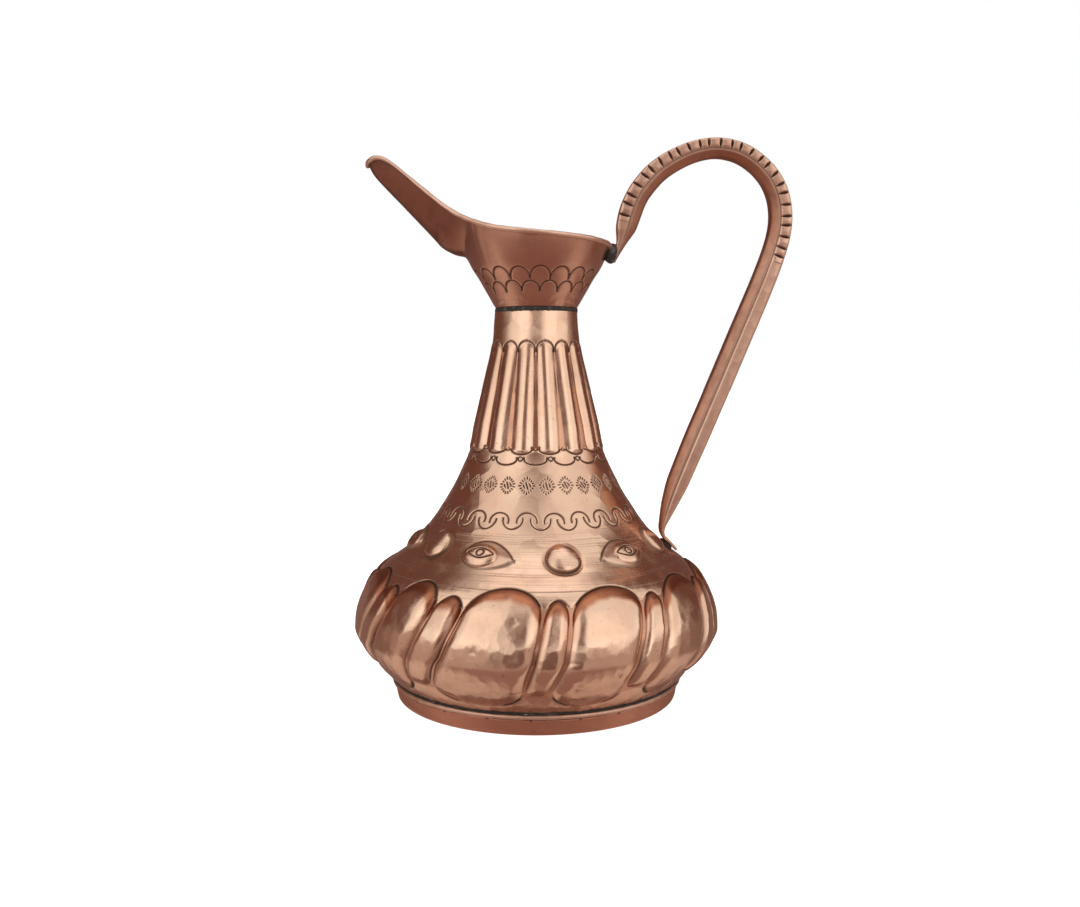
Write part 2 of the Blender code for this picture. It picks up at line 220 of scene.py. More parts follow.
def around(radius, turn, height):
    """Points round the vessel's axis, in millimetres; turn 0 is its front."""
    return np.stack([radius * np.sin(turn), -radius * np.cos(turn), height + 0.0 * turn], axis=-1)


def to_place(points):
    """Millimetres from the vessel's axis to metres in the frame."""
    return points * MM + np.array([AXIS_X, 0.0, 0.0])


# ---------------------------------------------------------------- shader writing

class Wire:
    """A shader socket that can be used in sums, so that shader maths reads as plain maths."""

    def __init__(self, recipe, socket):
        self.recipe = recipe
        self.socket = socket

    def join(self, kind, first, second):
        return self.recipe.node("ShaderNodeMath", {"operation": kind}, {0: first, 1: second})

    def __add__(self, other):
        return self.join("ADD", self, other)

    def __sub__(self, other):
        return self.join("SUBTRACT", self, other)

    def __rsub__(self, other):
        return self.join("SUBTRACT", other, self)

    def __mul__(self, other):
        return self.join("MULTIPLY", self, other)

    def __pow__(self, other):
        return self.join("POWER", self, other)

    def __neg__(self):
        return self.join("MULTIPLY", self, -1.0)

    __radd__ = __add__
    __rmul__ = __mul__


class Recipe:
    """A node tree, and the few ways that nodes are added to it."""

    def __init__(self, tree):
        self.tree = tree

    def feed(self, socket, value):
        """Links a wire to a socket, or sets the socket to a plain value."""
        if isinstance(value, Wire):
            self.tree.links.new(value.socket, socket)
        else:
            socket.default_value = value

    def node(self, kind, settings, values, out=0):
        """Adds a node, its settings first, and gives the wire of one output if it has any."""
        made = self.tree.nodes.new(kind)
        for key, value in settings.items():
            setattr(made, key, value)
        for key, value in values.items():
            self.feed(made.inputs[key], value)
        return Wire(self, made.outputs[out]) if len(made.outputs) else None

    def mark(self, name):
        """A value painted on the mesh's vertices."""
        return self.node("ShaderNodeAttribute", {"attribute_name": name}, {}, "Fac")

    def cloud(self, size, detail=3.0, stretch=(1.0, 1.0, 1.0)):
        """Soft noise with patches of about the given size in metres."""
        place = self.node("ShaderNodeTexCoord", {}, {}, "Object")
        spot = self.node("ShaderNodeMapping", {}, {"Vector": place, "Scale": stretch})
        values = {"Vector": spot, "Scale": 1.0 / size, "Detail": detail, "Roughness": 0.55}
        return self.node("ShaderNodeTexNoise", {}, values, "Fac")

    def ramp(self, value, low, high):
        """Value between two limits, as 0 to 1."""
        values = {"Value": value, "From Min": low, "From Max": high}
        return self.node("ShaderNodeMapRange", {"interpolation_type": "SMOOTHSTEP"}, values)

    def blend(self, share, first, second):
        """A colour between two others; Mix keeps its colour sockets at 6, 7 and 2."""
        return self.node("ShaderNodeMix", {"data_type": "RGBA"}, {0: share, 6: first, 7: second}, 2)

    def bump(self, height, depth):
        return self.node("ShaderNodeBump", {}, {"Distance": depth, "Height": height})

    def shade(self, values):
        """Feeds the sockets of the material's own shader."""
        for key, value in values.items():
            self.feed(self.tree.nodes["Principled BSDF"].inputs[key], value)


def new_material(name):
    """A material, and the recipe that writes its nodes."""
    material = bpy.data.materials.new(name)
    material.use_nodes = True
    return material, Recipe(material.node_tree)


def rgb(red, green, blue):
    return (red, green, blue, 1.0)


# Dark oxide brown, also used for painted shade; the stain colours below also tint painted shade.
PATINA_AND_SHADE_BROWN = rgb(0.075, 0.027, 0.016)
SPECK_BROWN = rgb(0.20, 0.08, 0.05)
BODY_STAIN_AND_SHADE = (rgb(0.37, 0.15, 0.095), rgb(0.52, 0.20, 0.105))
STRIP_STAIN_AND_SHADE = (rgb(0.46, 0.23, 0.165), rgb(0.54, 0.26, 0.17))
# Stain colours of the funnel and spout, darkened as painted shade.
MOUTH_STAIN_AND_SHADE = (rgb(0.21, 0.080, 0.058), rgb(0.27, 0.105, 0.070))


def copper(name, bright, deep, gloss, stain_and_shade=BODY_STAIN_AND_SHADE):
    """Beaten copper: uneven tone, rubbed gloss, dark oxide and painted shade in the marks painted on the
    mesh.
    """
    material, mix = new_material(name)
    patches = mix.ramp(mix.cloud(0.030), 0.38, 0.68)
    specks = mix.ramp(mix.cloud(0.0016, detail=2.0), 0.66, 0.74)
    smears = mix.ramp(mix.cloud(0.009, detail=4.0), 0.45, 0.75)
    tarnish_and_shade = mix.mark("tarnish_and_shade")
    patina_and_shade = mix.mark("patina_and_shade")
    tone = mix.blend(patches * 0.45 + smears * 0.2, bright, deep)
    tone = mix.blend(tarnish_and_shade, tone, mix.blend(smears, stain_and_shade[1], stain_and_shade[0]))
    tone = mix.blend(specks * 0.35, tone, SPECK_BROWN)
    tone = mix.blend(patina_and_shade, tone, PATINA_AND_SHADE_BROWN)
    scratches = mix.cloud(0.0011, detail=2.0, stretch=(1.0, 1.0, 6.0))
    rough = smears * 0.12 + scratches * 0.06 + patina_and_shade * 0.35 + tarnish_and_shade * 0.08 + gloss
    grain = mix.bump(mix.cloud(0.0007) + scratches * 0.6, 0.000012)
    mix.shade({"Base Color": tone, "Roughness": rough, "Metallic": 1.0 - patina_and_shade * 0.2, "Normal": grain})
    return material


def solder_metal():
    """Dull grey soft solder, blackened by flux, with a few brighter worn spots."""
    material, mix = new_material("blackened_solder")
    worn = mix.ramp(mix.cloud(0.0035, detail=2.0), 0.52, 0.72)
    tone = mix.blend(worn * 0.7, rgb(0.030, 0.026, 0.024), rgb(0.17, 0.14, 0.125))
    pits = mix.bump(mix.cloud(0.0022, detail=4.0), 0.00025)
    rough = 0.62 - worn * 0.2
    mix.shade({"Base Color": tone, "Roughness": rough, "Metallic": 0.35 + worn * 0.4, "Normal": pits})
    return material


# ---------------------------------------------------------------- body: one raised sheet

# Radius and height of points on the outline of the lobes' crowns, shoulder and neck.
BODY_OUTLINE = [
    (22.1, NECK_TOP), (23.6, 192.0), (27.2, 175.0), (33.1, 150.0), (36.4, 135.0), (42.9, 120.0),
    (52.0, 104.0), (62.5, 90.0), (72.5, 80.5), (82.0, 73.5), (90.2, 66.0), (97.5, 54.0),
    (99.7, 43.0), (98.6, 35.5), (91.1, 24.0), (79.4, BODY_FOOT),
]
# The body's outer face in bands: name, top, bottom, rows and columns.
BANDS = [
    ("neck", NECK_TOP, 141.0, 125, 720),
    ("swags", 141.0, 126.0, 50, 1000),
    ("stamps", 126.0, 110.5, 70, 1300),
    ("waves", 110.5, 96.5, 52, 900),
    ("eyes", 96.5, 77.0, 82, 1180),
    ("lobe_tops", 77.0, 50.0, 84, 1160),
    ("lobes", 50.0, BODY_FOOT, 84, 1160),
]

FLUTES = 15
FLUTE_FIRST = -0.5
FLUTE_ARCH_FOOT = 188.6
FLUTE_ARCH_RISE = 4.6
FLUTE_SWAG_LEVEL = 137.4
SECOND_SWAG_LEVEL = 132.0
SWAG_DROP = 3.1
STAMPS = 27
STAMP_FIRST = -6.2
STAMP_LEVEL = 118.8
STAMP_HALF_WIDTH = 4.15
STAMP_HALF_HEIGHT = 4.9
STAMP_DASHES = 16
STAMP_DIAMOND = 2.9
STAMP_HATCH = 1.7
WAVES = 24
WAVE_FIRST = -5.0
WAVE_REACH = 5.1
# The two rows of waves: shift round, level, rise, side that is kept, overlap, two uneven rhythms.
WAVE_ROWS = [
    (0.0, 101.7, 5.0, 1.0, 1.2, 3.1, 1.7),
    (180.0 / WAVES, 102.4, 5.4, -1.0, 1.0, 2.3, 2.1),
]
LINE = 0.75
SHOULDER_END = 77.0
SCRATCH_STEP = 1.35
GUIDE_LEVEL = 72.4
BOSS_RADIUS = 8.6
BOSS_RISE = 3.4
EYE_HIGH = 8.4
EYE_TAIL = 15.6
EYE_NOSE = 13.0
EYEBALL = (9.4, 6.9)
ALMOND = (7.0, 3.2)
IRIS = 2.0

# Raised motifs round the shoulder: bearing, height, kind and the side that an eye's tail points to.
MOTIFS = [
    (-79.0, 87.0, "eye", -1), (-51.0, 88.0, "boss", 0), (-22.8, 85.8, "eye", 1),
    (11.4, 85.0, "boss", 0), (41.5, 85.4, "eye", -1), (72.0, 87.0, "boss", 0),
    (122.0, 87.0, "boss", 0), (151.0, 87.0, "eye", 1), (181.0, 86.5, "boss", 0),
    (212.0, 87.2, "eye", -1), (245.0, 87.0, "boss", 0),
]

# Narrow lobes: bearing at the top, at mid belly and at the foot, and their angle of width.
NARROW_LOBES = [
    (-53.8, -63.0, -69.0, 10.5), (-26.0, -33.5, -39.0, 10.8), (7.5, 4.0, 0.5, 8.8),
    (41.6, 35.2, 32.5, 9.0), (74.7, 65.0, 60.0, 10.0), (107.8, 100.5, 96.0, 10.0),
    (140.8, 133.8, 129.0, 9.6), (173.9, 167.0, 162.0, 10.4), (207.0, 200.0, 195.5, 10.0),
    (240.0, 232.5, 228.0, 9.6), (273.1, 265.0, 259.5, 10.2),
]
LOBE_DEPTH = 5.0
LOBE_MIDDLE = 42.0
LOBE_LOW_END = 25.0
LOBE_FOOT_EDGE = 9.0
SMALL_DENT = 5.4
WIDE_DENT = 10.5
# Broad and narrow lobes: level of the arch's top, its rise, width of the rounded edge, drop at the foot.
BROAD_TOP = 73.3
BROAD = (BROAD_TOP, 17.0, 9.0, 12.0)
NARROW_TOP = 69.2
NARROW = (NARROW_TOP, 10.5, 5.2, 3.5)
# Slow unevenness of the raised sheet: waves round, height, phase and climb.
SLOW_DENTS = [(2, 0.24, 0.9, 0.02), (3, 0.18, 4.1, -0.02), (5, 0.11, 2.2, 0.03), (8, 0.06, 5.5, -0.01)]
DINGS = [(-17.0, 47.0), (-6.0, 60.0), (24.0, 34.0), (31.5, 44.0), (-47.0, 38.0), (12.0, 27.0)]
DINGS += [(float(RNG.uniform(60.0, 320.0)), float(RNG.uniform(24.0, 64.0))) for _ in range(9)]


class BodySkin:
    """One band of the body's outer face: rows down the outline, with one more at each end,
    and columns round it."""

    def __init__(self, top, bottom, rows, columns):
        outline = smooth_line(BODY_OUTLINE, 2400)
        heights = outline[:, 1]
        along = lengths_along(outline)
        self.s_of = lambda height: float(np.interp(-height, -heights, along))
        self.r_of = lambda height: float(np.interp(-height, -heights, outline[:, 0]))
        step = (self.s_of(bottom) - self.s_of(top)) / rows
        self.s = (self.s_of(top) + step * np.arange(-1, rows + 2))[:, None]
        self.r = np.interp(self.s, along, outline[:, 0])
        self.z = np.interp(self.s, along, heights)
        dr = np.interp(self.s, along, np.gradient(outline[:, 0], along))
        dz = np.interp(self.s, along, np.gradient(heights, along))
        self.out_r = -dz
        self.out_z = dr
        self.bearing = np.linspace(-180.0, 180.0, columns, endpoint=False)[None, :]
        self.columns = columns
        shape = (rows + 3, columns)
        self.lift = np.zeros(shape)
        self.patina_and_shade = np.zeros(shape)
        self.tarnish_and_shade = np.zeros(shape)

    def rows(self, top, bottom):
        """The rows between two heights, which may be none."""
        inside = np.nonzero((self.z[:, 0] <= top) & (self.z[:, 0] >= bottom))[0]
        if len(inside) == 0:
            return slice(0, 0)
        return slice(inside[0], inside[-1] + 1)

    def base_points(self):
        """The smooth sheet, before it is worked."""
        return around(self.r, np.radians(self.bearing), self.z)

    def points(self):
        """The worked sheet, in metres in the frame."""
        radius = self.r + self.out_r * self.lift
        height = self.z + self.out_z * self.lift
        return to_place(around(radius, np.radians(self.bearing), height))

    def paint(self, rows, patina_and_shade):
        self.patina_and_shade[rows] = np.maximum(self.patina_and_shade[rows], patina_and_shade)

    def chase(self, rows, cut, depth, dark=1.0):
        """A line driven into the sheet, with dark oxide left in it."""
        self.paint(rows, dark * cut)
        self.lift[rows] -= depth * cut


def beat_flutes(skin):
    """Fifteen convex flutes down the neck, with arched tops and two rows of swags below."""
    rows = skin.rows(196.0, 126.0)
    z = skin.z[rows]
    r = skin.r[rows]
    s = skin.s[rows]
    offset, _ = nearest_copy(skin.bearing, FLUTES, FLUTE_FIRST + 180.0 / FLUTES)
    across = 2.0 * offset / (360.0 / FLUTES)
    u = np.radians(offset) * r
    half = math.pi / FLUTES * r
    arch = FLUTE_ARCH_FOOT + FLUTE_ARCH_RISE * np.sqrt(np.clip(1.0 - across ** 2, 0.0, 1.0))
    swag = FLUTE_SWAG_LEVEL - SWAG_DROP * np.sqrt(np.clip(1.0 - across ** 2, 0.0, 1.0))
    inside = soft_step(arch - z, -0.2, 3.5) * soft_step(z - swag, -0.4, 2.6)
    depth = np.interp(-z, [-192.0, -165.0, -140.0], [1.3, 2.4, 3.0])
    crown = np.cos(0.5 * math.pi * np.clip(np.abs(across), 0.0, 1.0))
    ridge = np.exp(-((half - np.abs(u)) / 0.55) ** 2) * soft_step(z, 138.0, 150.0)
    skin.lift[rows] += inside * (depth * (crown - 0.74) + 0.55 * ridge)
    crease = line_mark(np.abs(half - np.abs(u) - 0.75), LINE)
    wander = 0.55 + 0.45 * np.sin(z * 0.31 + 5.0 * np.round(skin.bearing / 24.0))
    skin.paint(rows, 0.85 * crease * inside * (0.35 + 0.65 * wander))
    # Painted shade in the crease where two flutes meet.
    skin.tarnish_and_shade[rows] += 0.60 * inside * np.exp(-((half - np.abs(u)) / 1.9) ** 2)
    arch_v = skin.s_of(FLUTE_ARCH_FOOT) - s
    cut = line_mark(ellipse_distance(u, arch_v, half - 0.35, FLUTE_ARCH_RISE), LINE)
    skin.chase(rows, cut * (arch_v > -1.2), 0.3)
    for level, first in ((FLUTE_SWAG_LEVEL, 180.0 / FLUTES), (SECOND_SWAG_LEVEL, 0.0)):
        offset, index = nearest_copy(skin.bearing, FLUTES, FLUTE_FIRST + first)
        u = np.radians(offset) * r
        v = s - skin.s_of(level)
        reach = half - 1.9
        drop = SWAG_DROP + 0.3 * np.sin(index * 2.3)
        cut = line_mark(ellipse_distance(u, v, reach, drop), LINE) * (v > 0.0)
        curl = np.hypot(np.abs(u) - reach, v + 0.4)
        cut = np.maximum(cut, line_mark(curl, 1.1))
        ring = np.hypot(np.abs(u) - half, v)
        circle = line_mark(np.abs(ring - 1.15), 0.62)
        skin.paint(rows, np.maximum(cut, circle))
        skin.lift[rows] += 0.25 * np.exp(-(ring / 0.9) ** 2) - 0.35 * cut - 0.2 * circle


def strike_stamps(skin):
    """A row of rounded lozenges struck with one punch: a ring of dashes round a hatched diamond."""
    rows = skin.rows(STAMP_LEVEL + 6.5, STAMP_LEVEL - 6.5)
    offset, index = nearest_copy(skin.bearing, STAMPS, STAMP_FIRST)
    tilt = 0.12 * np.sin(index * 4.7)
    u0 = np.radians(offset) * skin.r[rows]
    v0 = skin.s_of(STAMP_LEVEL) - skin.s[rows] + 0.35 * np.sin(index * 2.9)
    u = u0 + tilt * v0
    v = v0 - tilt * u0
    reach = (np.abs(u) / STAMP_HALF_WIDTH) ** 1.3 + (np.abs(v) / STAMP_HALF_HEIGHT) ** 1.3
    edge = soft_step(reach, 0.56, 0.68) * (1.0 - soft_step(reach, 1.02, 1.16))
    ticks = np.cos(STAMP_DASHES * np.arctan2(v * 0.84, u) + 0.6 * index)
    dashes = edge * soft_step(ticks, -0.25, 0.10)
    diamond = (np.abs(u) + np.abs(v)) / STAMP_DIAMOND
    hatch = soft_step(np.cos(2.0 * math.pi * (u + 0.35 * v) / STAMP_HATCH), -0.45, 0.0)
    core = (1.0 - soft_step(diamond, 0.86, 1.0)) * hatch
    strike = np.clip(np.maximum(dashes, core), 0.0, 1.0)
    force = 0.90 + 0.10 * np.sin(index * 1.9 + 1.0)
    skin.chase(rows, strike * force, 0.22)


def chase_waves(skin):
    """Interlaced half rings, one row open below and one open above."""
    rows = skin.rows(109.0, 95.0)
    cut = np.zeros(skin.lift[rows].shape)
    for shift, level, rise, side, overlap, sway, hop in WAVE_ROWS:
        offset, index = nearest_copy(skin.bearing, WAVES, WAVE_FIRST + shift)
        u = np.radians(offset + 0.5 * np.sin(index * sway)) * skin.r[rows]
        v = skin.s_of(level) - skin.s[rows] + 0.3 * np.sin(index * hop)
        ring = line_mark(ellipse_distance(u, v, WAVE_REACH, rise), LINE)
        cut = np.maximum(cut, ring * (side * v > -overlap))
    skin.chase(rows, cut, 0.35, 0.95)


def score_shoulder(skin):
    """Fine level scratches left round the shoulder, and one scribed guide line."""
    rows = skin.rows(98.0, 62.0)
    s = skin.s[rows]
    turn = np.radians(skin.bearing)
    waver = 0.5 * np.sin(2.0 * turn + 0.1 * s) + 0.2 * np.sin(5.0 * turn + 0.3 * s)
    ring = (s + waver) / SCRATCH_STEP
    scratch = line_mark(np.abs(ring - np.round(ring)) * SCRATCH_STEP, 0.55)
    chance = 0.5 + 0.5 * np.sin(np.round(ring) * 12.9898)
    gaps = np.sin(3.0 * turn + 40.0 * chance) + 0.5 * np.sin(11.0 * turn + 9.0 * chance)
    skin.chase(rows, scratch * soft_step(gaps, -0.6, 0.9), 0.03, 0.05 + 0.24 * chance)
    guide = np.abs(s - skin.s_of(GUIDE_LEVEL) - 0.3 * np.sin(turn * 2.0))
    skin.paint(rows, 0.55 * line_mark(guide, 0.65))


def raise_boss(skin, bearing, level):
    """A round boss pushed out from behind, with a groove chased round its foot."""
    rows = skin.rows(level + 14.0, level - 13.0)
    u = np.radians(wrap(skin.bearing - bearing)) * skin.r_of(level)
    v = skin.s_of(level) - skin.s[rows]
    reach = np.hypot(u, v)
    dome = np.sqrt(np.clip(1.0 - (reach / BOSS_RADIUS) ** 2, 0.0, 1.0))
    reach = reach - BOSS_RADIUS
    skin.lift[rows] += BOSS_RISE * dome - 0.45 * np.exp(-((reach - 0.7) / 0.9) ** 2)
    uneven = 0.80 + 0.20 * np.sin(np.arctan2(v, u) + 2.6)
    skin.paint(rows, 0.90 * line_mark(np.abs(reach - 0.1), 1.0) * uneven)
    # Painted shade in a band round the boss's foot.
    skin.tarnish_and_shade[rows] += 0.40 * np.exp(-((reach - 0.4) / 1.4) ** 2)


def raise_eye(skin, bearing, level, side):
    """An eye-shaped boss: a pointed socket, a dome in it with an almond and a ring chased on."""
    rows = skin.rows(level + 15.0, level - 14.0)
    u = np.radians(wrap(skin.bearing - bearing)) * skin.r_of(level) * side
    v = skin.s_of(level) - skin.s[rows]
    sag = 0.013 * np.clip(u - 2.0, 0.0, 20.0) ** 2
    span = np.where(u > 0.0, EYE_TAIL, EYE_NOSE)
    high = EYE_HIGH * np.clip(1.0 - (np.abs(u) / span) ** 1.9, 0.0, 1.0) ** 0.72 + 0.05
    level_v = v + sag
    brow = np.abs(level_v) / high
    socket = np.clip(1.0 - brow ** 2, 0.0, 1.0) ** 0.55 * soft_step(high, 0.0, 3.0)
    ball = (np.abs(u + 1.8) / EYEBALL[0]) ** 1.9 + (np.abs(v + 1.0) / EYEBALL[1]) ** 2
    dome = np.clip(1.0 - ball, 0.0, 1.0) ** 0.55
    skin.lift[rows] += 1.3 * socket + 2.3 * dome
    outline = np.abs(np.abs(level_v) - high) / (1.0 + 0.07 * np.abs(u))
    outline = line_mark(outline, 0.95) * (np.abs(u) < span + 1.0)
    upper = soft_step(level_v, -1.5, 1.5)
    # The socket's outline in oxide, made heavier on its upper side as painted shade.
    skin.paint(rows, outline * (0.60 + 0.25 * upper))
    lid_shade = upper * socket * (1.0 - soft_step(dome, 0.0, 0.45))
    skin.paint(rows, 0.40 * lid_shade)
    # Painted shade in the hollow round the ball, on its upper side.
    moat_shade = np.exp(-((ball - 1.06) / 0.12) ** 2)
    skin.paint(rows, 0.30 * moat_shade * (v > -3.0))
    # Painted shade in the same hollow and over the upper socket.
    skin.tarnish_and_shade[rows] += 0.30 * moat_shade + 0.40 * upper * socket * (1.0 - dome)
    eye_u = u + 0.8
    lid = ALMOND[1] * (1.0 - (np.abs(eye_u) / ALMOND[0]) ** 1.7)
    almond = line_mark(np.abs(np.abs(v + 0.4) - np.maximum(lid, 0.0)), 0.85) * (np.abs(eye_u) < ALMOND[0])
    iris = line_mark(np.abs(np.hypot(eye_u * 1.1, v + 0.4) - IRIS), 0.8)
    skin.chase(rows, np.maximum(almond, iris), 0.35)


def lobe_lines(height):
    """Bearings of the two sides of each narrow lobe, at each height."""
    lines = []
    for top, middle, foot, width in NARROW_LOBES:
        centre = np.interp(-height, [-BROAD_TOP, -LOBE_MIDDLE, -LOBE_LOW_END], [top, middle, foot])
        taper = np.interp(-height, [-NARROW_TOP, -LOBE_MIDDLE, -LOBE_LOW_END], [0.92, 1.0, 0.9])
        lines.append((centre - 0.5 * width * taper, centre + 0.5 * width * taper))
    return lines


def puff(inset, width):
    """A rounded rise from an edge: 0 at the edge, 1 from width inwards."""
    share = np.clip(inset / width, 0.0, 1.0)
    return np.sqrt(np.clip(1.0 - (1.0 - share) ** 2, 0.0, 1.0))


def beat_one_lobe(skin, rows, left, right, kind, rises):
    """One gadroon between two grooves: its rise, the cut round its arch, painted shade under the arch and
    along the sides, and foot strokes.
    """
    top, rise, edge, drop = kind
    s = skin.s[rows]
    r = skin.r[rows]
    middle = 0.5 * (left + right)
    half = np.radians(0.5 * (right - left)) * r
    u = np.radians(wrap(skin.bearing - middle)) * r
    across = np.clip(np.abs(u) / half, 0.0, 1.0)
    inside = np.abs(u) < half
    arch = skin.s_of(top) + rise * (1.0 - np.sqrt(np.clip(1.0 - across ** 2, 0.0, 1.0)))
    end = skin.s_of(LOBE_LOW_END) + drop * np.sqrt(np.clip(1.0 - across ** 2.4, 0.0, 1.0))
    below = s - arch
    above = end - s
    side_inset = half - np.abs(u)
    shape = puff(side_inset, edge) * puff(below, 1.1 * np.minimum(edge, 8.0)) * puff(above, LOBE_FOOT_EDGE)
    rises[:] = np.where(inside & (below > 0.0) & (above > 0.0), shape, rises)
    skin.patina_and_shade[rows] *= 1.0 - inside * soft_step(below, 0.2, 1.2)
    cut = line_mark(np.abs(below + 0.2) / np.sqrt(1.0 + (1.3 * across ** 2) ** 2), 1.5)
    skin.chase(rows, cut * inside, 0.30)
    # Painted shade under the arch, darkest just under it, with a ragged lower edge.
    ragged = 2.6 * (hammer_dents(skin.base_points()[rows], 6.0, 17) - 0.3)
    under_arch_shade = soft_step(below, -0.5, 0.6) * (1.0 - soft_step(below + ragged, 5.4, 9.4))
    skin.tarnish_and_shade[rows] += inside * under_arch_shade
    skin.paint(rows, 0.42 * inside * under_arch_shade * (1.0 - soft_step(below, 0.5, 5.0)))
    # Painted shade along both sides, in the grooves between lobes, widest where the grooves are deepest.
    open_side = (below > -0.5) * soft_step(above, -1.0, 2.0)
    deep = 0.7 + 1.0 * soft_step(-skin.z[rows], -58.0, -38.0) * soft_step(skin.z[rows], 22.0, 32.0)
    skin.paint(rows, np.exp(-(side_inset / (0.95 * deep)) ** 2) * inside * open_side)
    skin.tarnish_and_shade[rows] += 0.30 * np.exp(-(side_inset / 2.2) ** 2) * inside * open_side
    stroke = line_mark(np.abs(above) / np.sqrt(1.0 + (2.0 * across ** 3) ** 2), 1.6)
    wanted = inside * soft_step(across, 0.34, 0.60) * (s > skin.s_of(LOBE_LOW_END) - 0.5)
    skin.chase(rows, stroke * wanted, 0.3)


def beat_lobes(skin):
    """Broad and narrow gadroons in turn, leaning a little, rising out of the shoulder."""
    rows = skin.rows(SHOULDER_END + 1.0, BODY_FOOT - 1.0)
    z = skin.z[rows]
    if len(z) == 0:
        return
    rises = np.zeros((len(z), skin.columns))
    lines = lobe_lines(z)
    for k, (left, right) in enumerate(lines):
        follow = lines[(k + 1) % len(lines)][0]
        follow = follow + 360.0 * (follow < right)
        beat_one_lobe(skin, rows, right, follow, BROAD, rises)
        beat_one_lobe(skin, rows, left, right, NARROW, rises)
    low = soft_step(z, 14.0, 32.0)
    high = 1.0 - soft_step(z, 58.0, BROAD_TOP)
    proud = 1.3 * soft_step(z, 52.0, 68.0)
    skin.lift[rows] += proud * rises - LOBE_DEPTH * (1.0 - rises) * low * high


def planish(skin):
    """Overlapping hammer marks: small and close on the belly, wide and soft on the shoulder."""
    base = skin.base_points()
    z = skin.z
    small = hammer_dents(base, SMALL_DENT, 3)
    wide = hammer_dents(base, WIDE_DENT, 7)
    belly = soft_step(-z, -80.0, -70.0)
    neck = soft_step(z, 190.0, 196.0)
    shoulder = soft_step(z, 78.0, 86.0) * (1.0 - neck) * (0.35 + 0.65 * soft_step(-z, -132.0, -124.0))
    low_belly = 0.45 + 0.55 * soft_step(-z, -60.0, -44.0)
    skin.lift += 0.24 * belly * (small * low_belly + wide) + (0.46 * shoulder + 0.30 * neck) * wide
    turn = np.radians(skin.bearing)
    for count, size, phase, climb in SLOW_DENTS:
        skin.lift += size * np.sin(count * turn + phase + climb * z) * soft_step(z, 14.0, 30.0)


def nick_belly(skin):
    """A few old dings, each a small uneven patch of dark pits."""
    for bearing, level in DINGS:
        rows = skin.rows(level + 6.0, level - 6.0)
        u = np.radians(wrap(skin.bearing - bearing)) * skin.r[rows]
        v = skin.s_of(level) - skin.s[rows]
        arms = 0.8 + 0.2 * np.cos(3.0 * np.arctan2(v, u) + bearing)
        ding = np.exp(-(np.hypot(u, v) / (1.5 * arms + 0.3)) ** 2)
        skin.lift[rows] -= 0.20 * ding
        skin.paint(rows, 0.7 * ding * (0.4 + 0.6 * hammer_dents(skin.base_points()[rows], 1.3, 5)))


def darken_lower_belly(skin):
    """Darker towards the bottom: below the belly's widest line, more near the foot, and a dark line at the
    foot.
    """
    skin.tarnish_and_shade += 0.26 * soft_step(-skin.z, -40.0, -26.0)
    skin.tarnish_and_shade += 0.22 * soft_step(-skin.z, -22.0, -13.0)
    skin.paint(slice(None), 0.55 * soft_step(-skin.z, -(BODY_FOOT + 1.6), -BODY_FOOT))


def build_body(material):
    """Works each band of the body in turn and makes it a piece."""
    for name, top, bottom, rows, columns in BANDS:
        skin = BodySkin(top, bottom, rows, columns)
        beat_flutes(skin)
        strike_stamps(skin)
        chase_waves(skin)
        score_shoulder(skin)
        for bearing, level, kind, side in MOTIFS:
            if kind == "boss":
                raise_boss(skin, bearing, level)
            else:
                raise_eye(skin, bearing, level, side)
        beat_lobes(skin)
        planish(skin)
        nick_belly(skin)
        darken_lower_belly(skin)
        points = skin.points()
        normals = -grid_normals(points)
        marks = {"patina_and_shade": skin.patina_and_shade[1:-1], "tarnish_and_shade": np.clip(skin.tarnish_and_shade[1:-1], 0.0, 1.0)}
        make_piece(
            "body_" + name, points[1:-1], grid_faces(rows + 1, columns, flip=True), material,
            ["body_shell"], marks, normals[1:-1],
        )


def build_body_inside(material):
    """The inner face of the body sheet, seen only down the neck."""
    outline = smooth_line(BODY_OUTLINE, 90)
    slope = np.gradient(outline, axis=0)
    slope /= np.linalg.norm(slope, axis=1, keepdims=True)
    inner = outline + np.stack([slope[:, 1], -slope[:, 0]], axis=1) * SHEET
    inner = np.vstack([outline[:1], inner, [[72.0, BODY_FOOT + SHEET]]])
    turn = np.radians(np.linspace(0.0, 360.0, 180, endpoint=False))[None, :]
    height = inner[:, 1:]
    belly = soft_step(72.0 - height, 0.0, 12.0) * soft_step(height, 16.0, 30.0)
    points = to_place(around(inner[:, :1] - 1.2 * belly, turn, height))
    make_piece(
        "body_inner_face", points, grid_faces(*points.shape[:2]), material,
        ["body_shell"], even_marks(points.shape[:2], 0.6),
    )


# ---------------------------------------------------------------- mouth: funnel and spout

# The funnel's radius and height, carried on upwards as the wall that the spout is cut from.
FUNNEL_OUTLINE = [
    (22.2, 211.5), (27.6, 220.8), (31.0, 226.8), (35.4, 233.8), (39.6, 243.6), (41.4, 250.5),
    (44.0, 262.0), (60.0, 340.0), (95.0, 520.0),
]
